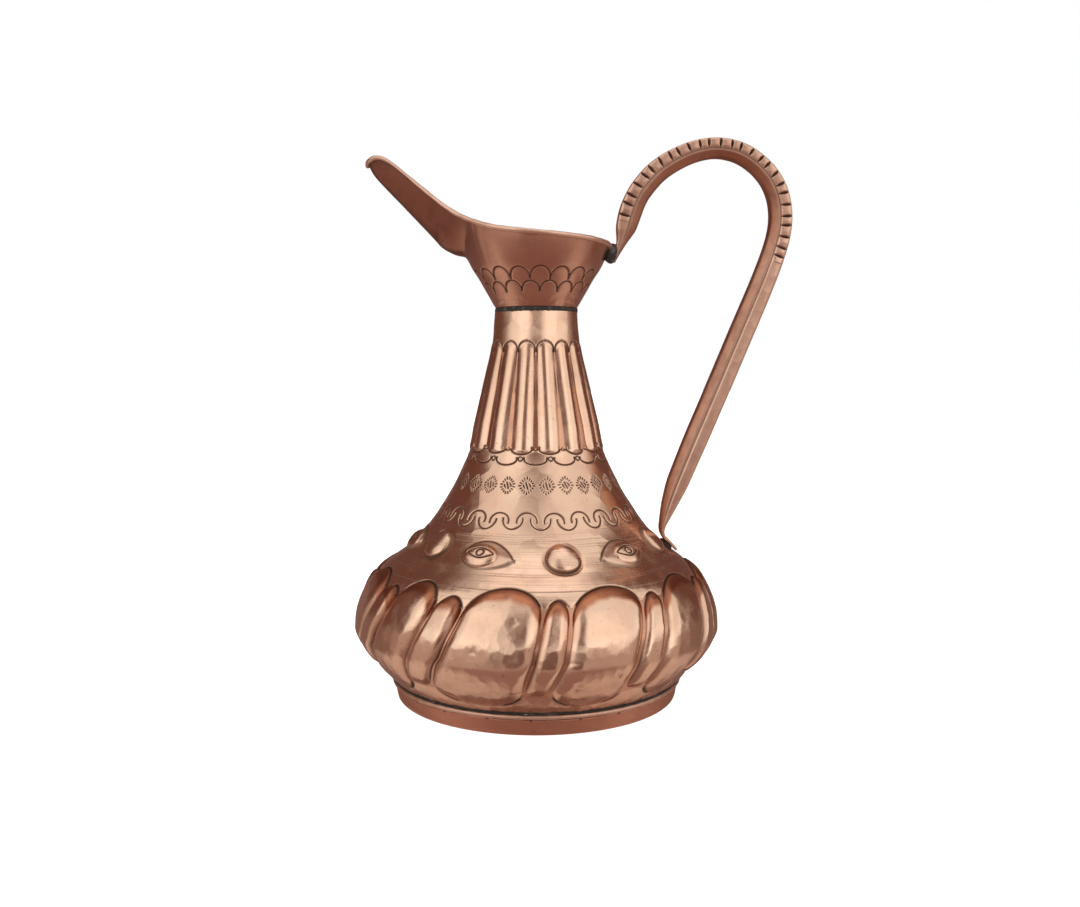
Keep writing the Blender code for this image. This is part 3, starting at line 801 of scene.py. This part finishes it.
# The spout's keel, rim and half width, each by its distance from the axis.
KEEL_OUTLINE = [
    (20.0, 238.5), (40.0, 239.4), (47.5, 241.8), (52.0, 244.8), (55.0, 248.2), (72.0, 266.0),
    (86.0, 280.6), (90.6, 288.0),
]
SPOUT_RIM_OUTLINE = [
    (20.0, 250.2), (27.0, 251.9), (33.5, 254.8), (40.0, 258.0), (46.3, 262.1), (52.7, 267.6),
    (62.3, 275.6), (75.0, 286.2), (81.0, 290.0), (86.0, 291.0), (90.6, 289.2),
]
SPOUT_HALF_WIDTHS = [
    (20.0, 38.0), (30.0, 29.6), (40.0, 22.2), (50.0, 16.2), (64.0, 11.0), (78.0, 7.9),
    (86.0, 5.6), (89.4, 3.0), (90.6, 0.0),
]
# Height of the funnel's rim by its bearing from the handle.
MOUTH_RIM_HEIGHTS = [(0.0, 244.7), (40.0, 245.6), (90.0, 247.5), (120.0, 250.6)]
MOUTH_HALF_COLUMNS = 230
MOUTH_LOW_ROWS = 72
MOUTH_HIGH_ROWS = 60
MOUTH_LOW_REACH = 26.0
# Rows of scales: level of their feet, rise, and shift round as a share of one scale.
SCALE_ROWS = [(225.0, 6.0, 0.0), (218.8, 5.2, 0.5)]
SCALES_ROUND = 18
RIM_EASE_SPAN = 47
RIM_BEAD = 1.35
RIM_BEAD_SIDES = 14
SPOUT_ROOT = -21.0
KEEL_END = -33.0
TROUGH_CURVE = 2.6
CREASE_BLEND = 4.0
MOUTH_INNER_FOOT = 209.5


def soft_minimum(a, b, blend):
    """The smaller of two heights, with a rounded change from one to the other."""
    mix = np.clip(0.5 + 0.5 * (b - a) / blend, 0.0, 1.0)
    return b + (a - b) * mix - blend * mix * (1.0 - mix)


def mouth_height(x, y, lines):
    """Height of the mouth's outer face over plan points."""
    funnel, keel, rim, widths = lines
    wall = np.interp(np.hypot(x, y), funnel[:, 0], funnel[:, 1])
    width = np.maximum(np.interp(-x, widths[:, 0], widths[:, 1]), 0.3)
    low = np.interp(-x, keel[:, 0], keel[:, 1])
    high = np.interp(-x, rim[:, 0], rim[:, 1])
    trough = low + (high - low) * np.clip(np.abs(y) / width, 0.0, 1.0) ** TROUGH_CURVE
    trough = trough + np.maximum(np.abs(y) - width, 0.0) * 6.0
    trough = trough + np.maximum(x - KEEL_END, 0.0) * 1.5
    return np.where(x > SPOUT_ROOT, wall, soft_minimum(wall, trough, CREASE_BLEND))


def mouth_rim_plan():
    """Half of the rim seen from above, from the handle side round to the spout's tip."""
    funnel = smooth_line(FUNNEL_OUTLINE, 300)
    heights = smooth_line(MOUTH_RIM_HEIGHTS, 200)
    points = []
    for turn in np.arange(0.0, MOUTH_RIM_HEIGHTS[-1][0] + 1.0, 20.0):
        height = np.interp(turn, heights[:, 0], heights[:, 1])
        radius = np.interp(height, funnel[:, 1], funnel[:, 0])
        bearing = math.radians(turn)
        points.append((radius * math.cos(bearing), radius * math.sin(bearing)))
    points += [(-x, y) for x, y in SPOUT_HALF_WIDTHS[1:]]
    return smooth_line(points, MOUTH_HALF_COLUMNS + 1)


def ease_rim(edge):
    """How far to raise each rim point, so that the spout's lip runs smoothly into the funnel's."""
    smooth = smooth_values(edge[:, 2], RIM_EASE_SPAN, "reflect")
    return ((smooth - edge[:, 2]) * soft_step(edge[:, 0], -62.0, -46.0))[:, None]


def mouth_points():
    """Points of the outer face: rows from the neck joint to the rim, columns all round."""
    lines = [
        smooth_line(outline, 400)
        for outline in (FUNNEL_OUTLINE, KEEL_OUTLINE, SPOUT_RIM_OUTLINE, SPOUT_HALF_WIDTHS)
    ]
    columns = []
    for x, y in mouth_rim_plan():
        reach = math.hypot(x, y)
        radius = np.linspace(FUNNEL_OUTLINE[0][0], reach, 500)
        px = x / reach * radius
        py = y / reach * radius
        line = np.stack([px, py, mouth_height(px, py, lines)], axis=1)
        low = np.linspace(0.0, MOUTH_LOW_REACH, MOUTH_LOW_ROWS, endpoint=False)
        high = np.linspace(MOUTH_LOW_REACH, lengths_along(line)[-1], MOUTH_HIGH_ROWS)
        columns.append(points_at(line, np.concatenate([low, high])))
    half = np.array(columns)
    half[:, :, 2] += ease_rim(half[:, -1]) * np.linspace(0.0, 1.0, half.shape[1])[None, :] ** 3
    mirrored = half[-2:0:-1] * np.array([1.0, -1.0, 1.0])
    return np.concatenate([half, mirrored]).transpose(1, 0, 2)


def chase_scales(points):
    """Two staggered rows of scales on the funnel: how deep and dark the chased lines are."""
    bearing = np.degrees(np.arctan2(points[..., 0], -points[..., 1]))
    radius = np.hypot(points[..., 0], points[..., 1])
    height = points[..., 2]
    cut = np.zeros(radius.shape)
    for foot, rise, shift in SCALE_ROWS:
        offset, index = nearest_copy(bearing, SCALES_ROUND, 4.0 + shift * 360.0 / SCALES_ROUND)
        u = np.radians(offset) * radius
        v = (height - foot + 0.25 * np.sin(index * 2.7)) * 1.18
        half = math.pi / SCALES_ROUND * radius
        line = line_mark(ellipse_distance(u, v, half - 0.1, rise * 1.18), 0.85) * (v > -0.5)
        cut = np.maximum(cut, line)
    return cut


def build_mouth(material):
    """The sheet's outer and inner faces; gives the smooth outer face and its normals."""
    points = mouth_points()
    cut = chase_scales(points)
    normals = grid_normals(points)
    dents = hammer_dents(points, 8.5, 21)
    near_joint = 1.0 - soft_step(points[..., 2], 212.5, 219.0)
    worn = hammer_dents(points, 3.4, 9)
    lift = 0.10 * dents + 0.30 * near_joint * (worn - 0.5) - 0.32 * cut
    lift = lift * soft_step(points[..., 2], 211.5, 213.0)
    skin = points + normals * lift[..., None]
    rows, columns = cut.shape
    # Painted shadow along the top of the outer face, just under the rolled bead.
    lip = soft_step(np.arange(rows) / (rows - 1.0), 0.955, 0.99)[:, None]
    patina_and_shade = np.maximum(cut, 0.75 * near_joint * soft_step(worn, 0.45, 0.9))
    patina_and_shade = np.maximum(patina_and_shade, 0.45 * lip)
    # A little tarnish all over, and painted shade over the spout.
    tarnish_and_shade = 0.10 + 0.80 * soft_step(-points[..., 0], 24.0, 46.0)
    make_piece(
        "mouth_and_spout_sheet", to_place(skin), grid_faces(rows, columns), material,
        ["mouth_and_spout"], {"patina_and_shade": patina_and_shade, "tarnish_and_shade": tarnish_and_shade}, grid_normals(skin),
    )
    inner = (points - normals * SHEET)[::2, ::2]
    inner[0, :, 2] = MOUTH_INNER_FOOT
    shape = inner.shape[:2]
    make_piece(
        "mouth_inner_face", to_place(inner), grid_faces(*shape, flip=True), material,
        ["mouth_and_spout"], even_marks(shape, 0.55),
    )
    return points, normals


def build_rim_bead(points, normals, material):
    """The sheet's edge rolled over a wire: a round bead along the rim and the spout's lip."""
    edge = points[-1]
    count = len(edge)
    down = points[-3] - edge
    down /= np.linalg.norm(down, axis=1, keepdims=True)
    out = normals[-2]
    place = 2.0 * math.pi * np.arange(count) / count
    wobble = 0.06 * np.sin(17.0 * place) + 0.05 * np.sin(41.0 * place + 1.0)
    centre = edge + out * 0.45 + down * 0.25
    turns = np.linspace(0.0, 2.0 * math.pi, RIM_BEAD_SIDES, endpoint=False)
    spokes = np.cos(turns)[:, None] * out[:, None] + np.sin(turns)[:, None] * down[:, None]
    rings = centre[:, None] + (RIM_BEAD + wobble)[:, None, None] * spokes
    marks = even_marks((count, RIM_BEAD_SIDES), 0.1)
    # Painted shadow line along the bead's lower outer side.
    marks["patina_and_shade"] += 0.55 * np.exp(-((turns - 1.2) / 0.45) ** 2)
    make_piece(
        "rolled_rim_bead", to_place(rings), ring_faces(count, RIM_BEAD_SIDES), material,
        ["rim_wire"], marks,
    )


# ---------------------------------------------------------------- handle: folded strip

# The strip's middle: distance from the axis and height, from the funnel over the arch to the foot.
HANDLE_PATH = [
    (42.0, 236.4), (44.2, 241.6), (46.3, 247.2), (48.4, 254.0), (52.0, 266.0), (56.8, 275.0),
    (65.3, 284.4), (76.0, 291.2), (87.0, 295.4), (98.0, 296.6), (109.0, 294.2), (118.2, 288.6),
    (125.4, 281.0), (129.8, 272.3), (131.7, 262.5), (131.2, 252.5), (128.2, 240.5), (121.8, 223.0),
    (110.6, 195.8), (98.6, 166.6), (84.6, 133.0), (76.0, 111.5), (71.3, 98.0), (69.3, 90.3),
    (70.6, 85.9), (73.8, 82.7), (77.6, 78.7),
]
# Thickness and width by the share of the strip's length.
HANDLE_THICKNESS = [
    (0.0, 1.6), (0.015, 2.8), (0.035, 5.6), (0.055, 11.0), (0.08, 12.4), (0.14, 12.2),
    (0.20, 11.0), (0.26, 9.9), (0.33, 10.2), (0.41, 11.4), (0.50, 12.2), (0.60, 12.6),
    (0.80, 12.6), (0.88, 11.4), (0.92, 7.6), (0.95, 3.4), (0.965, 2.1), (1.0, 1.6),
]
HANDLE_WIDTH = [
    (0.0, 5.0), (0.05, 10.0), (0.12, 13.6), (0.88, 13.6), (0.95, 12.4), (0.98, 10.0), (1.0, 5.0),
]
HANDLE_ROWS = 1300
HANDLE_COLUMNS = 60
TAPER_EASE_SPAN = 41
NOTCHES = 27
NOTCH_START = 25.0
NOTCH_END = 166.0
NOTCH_PITCH = (NOTCH_END - NOTCH_START) / (NOTCHES - 1)
NOTCH_DEPTH = 1.05
NOTCH_HALF_WIDTH = 0.85
# The notched band: its middle and half height as shares of the strip's thickness.
BAND_MIDDLE = 0.23
BAND_HALF = 0.27


def handle_section(thickness, width):
    """Folded strip: offsets outwards and across, all round, from the outer middle."""
    t = thickness
    w = 0.5 * width
    half = [
        (0.50 * t, 0.00), (0.50 * t, 0.62 * w), (0.47 * t, 0.88 * w), (0.36 * t, 0.985 * w),
        (0.16 * t, 1.00 * w), (0.01 * t, 0.98 * w), (-0.07 * t, 0.88 * w),
        (-0.12 * t, 0.94 * w), (-0.18 * t, 0.92 * w), (-0.30 * t, 0.79 * w),
        (-0.46 * t, 0.55 * w), (-0.50 * t, 0.30 * w), (-0.50 * t, 0.0),
    ]
    side = smooth_line(half, HANDLE_COLUMNS // 2 + 1)
    return np.vstack([side, side[-2:0:-1] * np.array([1.0, -1.0])])


def build_handle(material):
    """The strip section by section along its path, notched along the arch's outer edges."""
    path = smooth_line(HANDLE_PATH, HANDLE_ROWS)
    along = np.gradient(path, axis=0)
    along /= np.linalg.norm(along, axis=1, keepdims=True)
    length = lengths_along(path)
    share = length / length[-1]
    thickness = smooth_values(np.interp(share, *zip(*HANDLE_THICKNESS)), TAPER_EASE_SPAN, "edge")
    width = smooth_values(np.interp(share, *zip(*HANDLE_WIDTH)), TAPER_EASE_SPAN, "edge")
    index = np.clip(np.round((length - NOTCH_START) / NOTCH_PITCH), 0, NOTCHES - 1)
    centres = NOTCH_START + index * NOTCH_PITCH + 0.5 * np.sin(index * 2.1)
    slant = 0.10 * np.sin(index * 1.3)
    points = np.zeros((HANDLE_ROWS, HANDLE_COLUMNS, 3))
    patina_and_shade = np.zeros((HANDLE_ROWS, HANDLE_COLUMNS))
    tarnish_and_shade = np.zeros((HANDLE_ROWS, HANDLE_COLUMNS))
    for k in range(HANDLE_ROWS):
        section = handle_section(thickness[k], width[k])
        off = section[:, 0]
        across = section[:, 1]
        full = min(thickness[k] / 9.0, 1.0)
        band_middle = BAND_MIDDLE * thickness[k]
        reach = (off - band_middle) / (BAND_HALF * thickness[k])
        shift = length[k] - centres[k] - slant[k] * (off - band_middle)
        lens = NOTCH_HALF_WIDTH * np.clip(1.0 - reach ** 2, 0.0, 1.0) + 0.02
        outer = np.abs(across) > 0.62 * 0.5 * width[k]
        notch = np.clip(1.0 - (shift / lens) ** 2, 0.0, 1.0) * outer * (np.abs(reach) < 1.0)
        swell = np.clip(np.abs(length[k] - centres[k]) / (0.5 * NOTCH_PITCH), 0.0, 1.0)
        notched = NOTCH_START - 3.0 < length[k] < NOTCH_END + 3.0
        band = outer * np.clip(1.0 - reach ** 2, 0.0, 1.0) * notched
        crease = np.abs(off + 0.07 * thickness[k])
        seam = np.exp(-(crease / 0.45) ** 2) * (np.abs(across) > 0.35 * width[k]) * full
        patina_and_shade[k] = np.maximum(notch ** 0.5, 0.85 * seam)
        # Painted shade on the strip's inner face; the whole strip is also darker along its arch.
        inner = soft_step(-off, 0.10 * thickness[k], 0.22 * thickness[k])
        arch = soft_step(path[k, 1], 238.0, 262.0)
        tarnish_and_shade[k] = 0.05 + 0.15 * arch + (0.75 + 0.20 * arch) * inner
        out = np.array([-along[k, 1], along[k, 0]])
        points[k, :, 0] = path[k, 0] + out[0] * off
        sunk = NOTCH_DEPTH * notch - 0.34 * band * (swell ** 0.7 - 0.5)
        points[k, :, 1] = across - np.sign(across) * sunk
        points[k, :, 2] = path[k, 1] + out[1] * off
    points[..., 1] += 0.22 * (hammer_dents(points, 6.5, 31) - 0.3) * np.sign(points[..., 1])
    faces = grid_faces(HANDLE_ROWS, HANDLE_COLUMNS, flip=True)
    make_piece(
        "handle_strip", to_place(points), faces, material, ["handle"],
        {"patina_and_shade": patina_and_shade, "tarnish_and_shade": tarnish_and_shade}, caps=end_caps(HANDLE_ROWS, HANDLE_COLUMNS),
    )


# ---------------------------------------------------------------- foot, base and solder

FOOT_COLUMNS = 720
NECK_SEAM_COLUMNS = 620
BLOB_ROWS = 40
BLOB_COLUMNS = 56


def turned_piece(name, section, columns, material, node, ripple=None, dark=None, tarnish_and_shade=0.2):
    """A ring turned from a closed section; ripple moves its surface outwards, dark is its patina."""
    section = np.array(section)
    turn = np.radians(np.linspace(0.0, 360.0, columns, endpoint=False))[:, None]
    away = section - section.mean(axis=0)
    away /= np.linalg.norm(away, axis=1, keepdims=True) + 1e-9
    lift = ripple(turn, section) if ripple else 0.0
    points = to_place(around(section[:, 0] + away[:, 0] * lift, turn, section[:, 1] + away[:, 1] * lift))
    count = len(section)
    marks = even_marks((columns, count), tarnish_and_shade)
    if dark:
        marks["patina_and_shade"] += dark(turn, section)
    make_piece(name, points, ring_faces(columns, count), material, [node], marks)


def round_section(radius, height, size, sides):
    turns = np.linspace(0.0, 2.0 * math.pi, sides, endpoint=False)
    return [(radius + size * math.cos(t), height + size * math.sin(t)) for t in turns]


def build_foot(band_copper, bead_copper, solder):
    """The band, the bead along its top, the seam above the bead and the base disc."""
    top = RING_HIGH.z / MM
    outer = [
        (70.8, 0.0), (75.9, 0.0), (76.6, 0.25), (76.95, 0.8), (77.25, 2.6), (77.6, 4.4),
        (77.95, 6.2), (78.25, 7.6), (78.35, 8.2), (77.9, top), (76.9, top),
    ]
    inner = [(76.6, 7.0), (76.1, 4.0), (75.6, 1.3), (70.8, 1.3)]
    section = np.vstack([even_steps(np.array(outer), 34), even_steps(np.array(inner), 12)])

    def band_ripple(turn, points):
        z = points[:, 1]
        slow = 0.10 * np.sin(5.0 * turn + 0.4 * z) + 0.07 * np.sin(13.0 * turn + 0.8 * z)
        fine = 0.03 * np.sin(57.0 * turn + 2.0 * z) * np.sin(23.0 * turn)
        return (slow + fine) * soft_step(z, 0.8, 2.0) * (points[:, 0] > 77.1)

    def band_nicks(turn, points):
        chance = np.sin(91.0 * turn + 1.3) * np.sin(37.0 * turn) * np.sin(11.0 * turn + 2.0)
        edge = soft_step(points[:, 1], 7.0, 7.9) * (points[:, 0] > 77.9)
        return 0.85 * soft_step(chance, 0.42, 0.7) * edge

    turned_piece(
        "foot_band", section, FOOT_COLUMNS, band_copper, "foot_ring", band_ripple,
        band_nicks,
    )

    def wire_ripple(turn, points):
        return 0.05 * np.sin(29.0 * turn) + 0.05 * np.sin(67.0 * turn + 2.0)

    def wire_seam(turn, points):
        low = np.exp(-((points[:, 1] - 8.75) / 0.5) ** 2)
        high = np.exp(-((points[:, 1] - 11.1) / 0.45) ** 2)
        return (0.7 * low + 0.75 * high) * (0.75 + 0.25 * np.sin(43.0 * turn) * np.sin(17.0 * turn))

    wire = round_section(radius=78.5, height=9.9, size=1.32, sides=18)
    turned_piece(
        "foot_bead", wire, FOOT_COLUMNS, bead_copper, "foot_bead_wire", wire_ripple,
        wire_seam,
    )

    def solder_ripple(turn, points):
        ragged = np.sin(31.0 * turn) * np.sin(83.0 * turn + 1.0) + 0.6 * np.sin(131.0 * turn)
        return 0.16 * ragged

    seam = [(76.9, 11.35), (78.6, 11.2), (79.5, 11.5), (80.0, 11.95), (79.4, 12.35), (76.9, 12.2)]
    turned_piece(
        "foot_seam_solder", seam, FOOT_COLUMNS, solder, "foot_solder", solder_ripple,
    )

    disc = [
        (0.05, 13.6), (30.0, 13.35), (55.0, 12.8), (76.5, 12.1), (76.5, 10.8), (55.0, 11.5),
        (30.0, 12.05), (0.05, 12.3),
    ]
    turned_piece("base_sheet", disc, 180, band_copper, "base_disc", tarnish_and_shade=0.8)


def lumps(points, size, seed):
    """Smooth uneven lumps over a set of points, between -1 and 1."""
    phase = np.random.default_rng(seed).uniform(0.0, 6.28, (5, 3))
    total = np.zeros(points.shape[:-1])
    for k, turn in enumerate(phase):
        pull = (1.0 + 0.45 * k) / size
        wave = np.sin(points[..., 0] * pull + turn[0]) + np.sin(points[..., 1] * pull * 1.1 + turn[1])
        total += wave * np.sin(points[..., 2] * pull * 0.9 + turn[2]) / (1.0 + k)
    return total / 2.6


def solder_blob(name, centre, sizes, tilt, material, node, seed):
    """A hand-flowed lump of solder: an uneven ellipsoid, tilted in the handle's plane."""
    polar = np.linspace(0.02, math.pi - 0.02, BLOB_ROWS)[:, None]
    turn = np.linspace(0.0, 2.0 * math.pi, BLOB_COLUMNS, endpoint=False)[None, :]
    ring = np.sin(polar)
    unit = np.stack([ring * np.cos(turn), ring * np.sin(turn), np.cos(polar) + 0.0 * turn], axis=-1)
    local = np.sign(unit) * np.abs(unit) ** 0.8 * np.array(sizes)
    local *= 1.0 + 0.10 * lumps(local, 1.6, seed)[..., None]
    lean = math.radians(tilt)
    x = local[..., 0] * math.cos(lean) + local[..., 2] * math.sin(lean)
    z = -local[..., 0] * math.sin(lean) + local[..., 2] * math.cos(lean)
    placed = to_place(np.stack([x, local[..., 1], z], axis=-1) + np.array(centre))
    faces = grid_faces(BLOB_ROWS, BLOB_COLUMNS, flip=True)
    marks = even_marks((BLOB_ROWS, BLOB_COLUMNS), 0.0)
    caps = end_caps(BLOB_ROWS, BLOB_COLUMNS)
    make_piece(name, placed, faces, material, [node], marks, caps=caps)


def build_solder(material):
    """The seam round the neck, and the two lumps that hold the handle."""
    def neck_ripple(turn, points):
        ragged = 0.5 * np.sin(19.0 * turn + 0.7) * np.sin(7.0 * turn) + 0.35 * np.sin(47.0 * turn)
        fine = 0.25 * np.sin(97.0 * turn) * np.sin(53.0 * turn)
        low = soft_step(-points[:, 1], -210.4, -208.8)
        return (ragged + fine) * (0.08 + 0.30 * low)

    seam = [
        (21.2, 208.9), (22.05, 208.9), (22.30, 209.2), (22.45, 209.8), (22.5, 210.4),
        (22.45, 211.0), (22.1, 211.5), (21.2, 211.3),
    ]
    section = even_steps(np.vstack([seam, seam[:1]]), 25)[:-1]
    turned_piece(
        "neck_joint_solder", section, NECK_SEAM_COLUMNS, material, "neck_solder",
        neck_ripple,
    )
    rim_joint = (40.6, 0.0, 241.0)
    solder_blob("rim_joint_solder", rim_joint, (3.6, 4.8, 5.2), 14.0, material, "handle_top_solder", 3)
    tongue = (71.6, 0.0, 81.4)
    solder_blob("tongue_solder", tongue, (2.0, 5.4, 4.2), -48.0, material, "handle_foot_solder", 5)


# ---------------------------------------------------------------- camera, light and assembly

LENS = 34.13
CAMERA_PLACE = (AXIS_X + 2.0 * MM, -0.563, 0.1768)
CAMERA_DIP = 4.55
LIGHT_AIM = (AXIS_X, 0.0, 0.12)
# Softboxes: name, place, width and height, power and colour.
SOFTBOXES = [
    ("window_left", (-0.62, -0.75, 0.50), (0.55, 0.75), 0.3, (1.0, 0.97, 0.93)),
    ("window_right", (0.60, -0.80, 0.45), (0.50, 0.75), 0.3, (1.0, 0.97, 0.93)),
    ("ceiling", (0.05, 0.05, 1.15), (0.7, 0.7), 0.4, (1.0, 0.98, 0.95)),
]
ROOM_WHITE = rgb(1.05, 1.03, 1.0)
ROOM_DIM = rgb(0.140, 0.064, 0.050)
TABLE_FAR = rgb(0.47, 0.36, 0.325)
TABLE_SIDES = rgb(0.62, 0.50, 0.44)
TABLE_NEAR = rgb(0.30, 0.18, 0.16)
PLAIN_WHITE = rgb(1.0, 1.0, 1.0)
TABLE_REACH = 9.0


def place_camera():
    data = bpy.data.cameras.new("view")
    data.lens = LENS
    data.sensor_width = 36.0
    camera = bpy.data.objects.new("view", data)
    camera.location = CAMERA_PLACE
    camera.rotation_euler = (math.radians(90.0 - CAMERA_DIP), 0.0, 0.0)
    bpy.context.scene.collection.objects.link(camera)
    bpy.context.scene.camera = camera


def add_softbox(name, place, size, power, colour):
    data = bpy.data.lights.new(name, "AREA")
    data.shape = "RECTANGLE"
    data.size, data.size_y = size
    data.energy = power
    data.color = colour
    light = bpy.data.objects.new(name, data)
    light.location = place
    aim = bpy.data.objects.new(name + "_aim", None)
    aim.location = LIGHT_AIM
    for item in (light, aim):
        bpy.context.scene.collection.objects.link(item)
    track = light.constraints.new("TRACK_TO")
    track.target = aim
    track.track_axis = "TRACK_NEGATIVE_Z"
    track.up_axis = "UP_Y"


def wall_tones(room, facing, aside, up):
    """Above the horizon: white walls left and right, dim behind the jug and behind the viewer."""
    slot_dark = room.ramp(facing, 0.935, 0.975) * room.ramp(up, 0.05, 0.30) * 0.92
    slot_dark = slot_dark * (1.0 - room.ramp(up, 0.50, 0.80) * 0.45)
    slot_dark = slot_dark * (1.0 - room.ramp(up, 0.90, 0.99))
    back_dark = room.ramp(-(facing + aside * 0.12), 0.02, 0.26) * (1.0 - room.ramp(up, 0.80, 0.97))
    low_side = room.ramp(-(facing + aside * 0.22), -0.12, 0.12) * (1.0 - room.ramp(up, 0.25, 0.50))
    mid_dip = room.ramp(up, 0.26, 0.42) * (1.0 - room.ramp(up, 0.60, 0.78)) * 0.20
    ceiling_dip = room.ramp(up, 0.55, 0.85) * 0.18
    wall = (1.0 - slot_dark) * (1.0 - back_dark) * (1.0 - low_side * 0.9) * (1.0 - mid_dip)
    return room.blend(wall * (1.0 - ceiling_dip), ROOM_DIM, ROOM_WHITE)


def table_tones(room, facing, down):
    """Below the horizon: the table, paler to the sides, dim far behind and in front of the viewer."""
    deep = room.ramp(down, 0.34, 0.66)
    sides = (1.0 - room.ramp(facing, 0.20, 0.60)) * (1.0 - room.ramp(-facing, 0.70, 0.90))
    tone = room.blend(deep, TABLE_FAR, room.blend(sides, TABLE_NEAR, TABLE_SIDES))
    far_side = room.ramp(-facing, -0.10, 0.30) * (1.0 - deep)
    far_side = far_side + room.ramp(-facing, 0.75, 0.92) * deep
    viewer = room.ramp(facing, 0.90, 0.96) * (1.0 - room.ramp(down, 0.30, 0.44)) * 0.95
    return room.blend(viewer, room.blend(far_side * 0.75, tone, ROOM_DIM), ROOM_DIM)


def light_room():
    """A white cove round the jug, which the copper reflects; the eye sees plain white."""
    world = bpy.data.worlds.new("white_cove")
    world.use_nodes = True
    bpy.context.scene.world = world
    world.node_tree.nodes.clear()
    room = Recipe(world.node_tree)
    toward = room.node("ShaderNodeTexCoord", {}, {}, "Generated")
    east, north, up = [room.node("ShaderNodeSeparateXYZ", {}, {0: toward}, axis) for axis in "XYZ"]
    level = (east * east + north * north + 0.0001) ** -0.5
    facing = -north * level
    down = -up
    walls = wall_tones(room, facing, east * level, up)
    colour = room.blend(room.ramp(down, -0.09, -0.01), walls, table_tones(room, facing, down))
    reflected = room.node("ShaderNodeBackground", {}, {"Color": colour, "Strength": 1.0})
    white = room.node("ShaderNodeBackground", {}, {"Color": PLAIN_WHITE, "Strength": 1.0})
    seen = room.node("ShaderNodeLightPath", {}, {}, "Is Camera Ray")
    pick = room.node("ShaderNodeMixShader", {}, {0: seen, 1: reflected, 2: white})
    room.node("ShaderNodeOutputWorld", {}, {"Surface": pick})


def lay_floor():
    """A plain white table top, lit from within so that it stays white up to its far edge."""
    material, paper = new_material("white_table")
    tone = paper.blend(paper.cloud(0.4), rgb(0.86, 0.86, 0.86), rgb(0.90, 0.90, 0.90))
    paper.shade({"Base Color": tone, "Roughness": 0.8, "Metallic": 0.0})
    paper.shade({"Emission Color": PLAIN_WHITE, "Emission Strength": 1.0})
    mesh = bpy.data.meshes.new("table_top")
    corners = [(TABLE_REACH * x, TABLE_REACH * y, 0.0) for x, y in ((-1, -1), (1, -1), (1, 1), (-1, 1))]
    mesh.from_pydata(corners, [], [(0, 1, 2, 3)])
    mesh.materials.append(material)
    top = bpy.data.objects.new("table_top", mesh)
    top.location = (0.0, 0.0, -0.0005)
    top.visible_glossy = False
    bpy.context.scene.collection.objects.link(top)


def main():
    bpy.context.scene.view_settings.view_transform = "Standard"
    place_camera()
    light_room()
    lay_floor()
    for softbox in SOFTBOXES:
        add_softbox(*softbox)
    body_copper = copper("polished_copper", rgb(0.92, 0.63, 0.46), rgb(0.84, 0.51, 0.35), 0.17)
    satin_copper = copper(
        "satin_copper", rgb(0.93, 0.62, 0.47), rgb(0.80, 0.49, 0.36), 0.34, STRIP_STAIN_AND_SHADE,
    )
    # The funnel and spout in a darker copy of the copper, as painted shade.
    shaded_mouth_copper = copper(
        "shaded_mouth_copper", rgb(0.80, 0.46, 0.33), rgb(0.56, 0.27, 0.19), 0.20, MOUTH_STAIN_AND_SHADE,
    )
    foot_copper = copper("foot_copper", rgb(0.72, 0.36, 0.25), rgb(0.62, 0.29, 0.20), 0.38)
    solder = solder_metal()
    build_body(body_copper)
    build_body_inside(body_copper)
    points, normals = build_mouth(shaded_mouth_copper)
    build_rim_bead(points, normals, satin_copper)
    build_handle(satin_copper)
    build_foot(foot_copper, satin_copper, solder)
    build_solder(solder)


main()
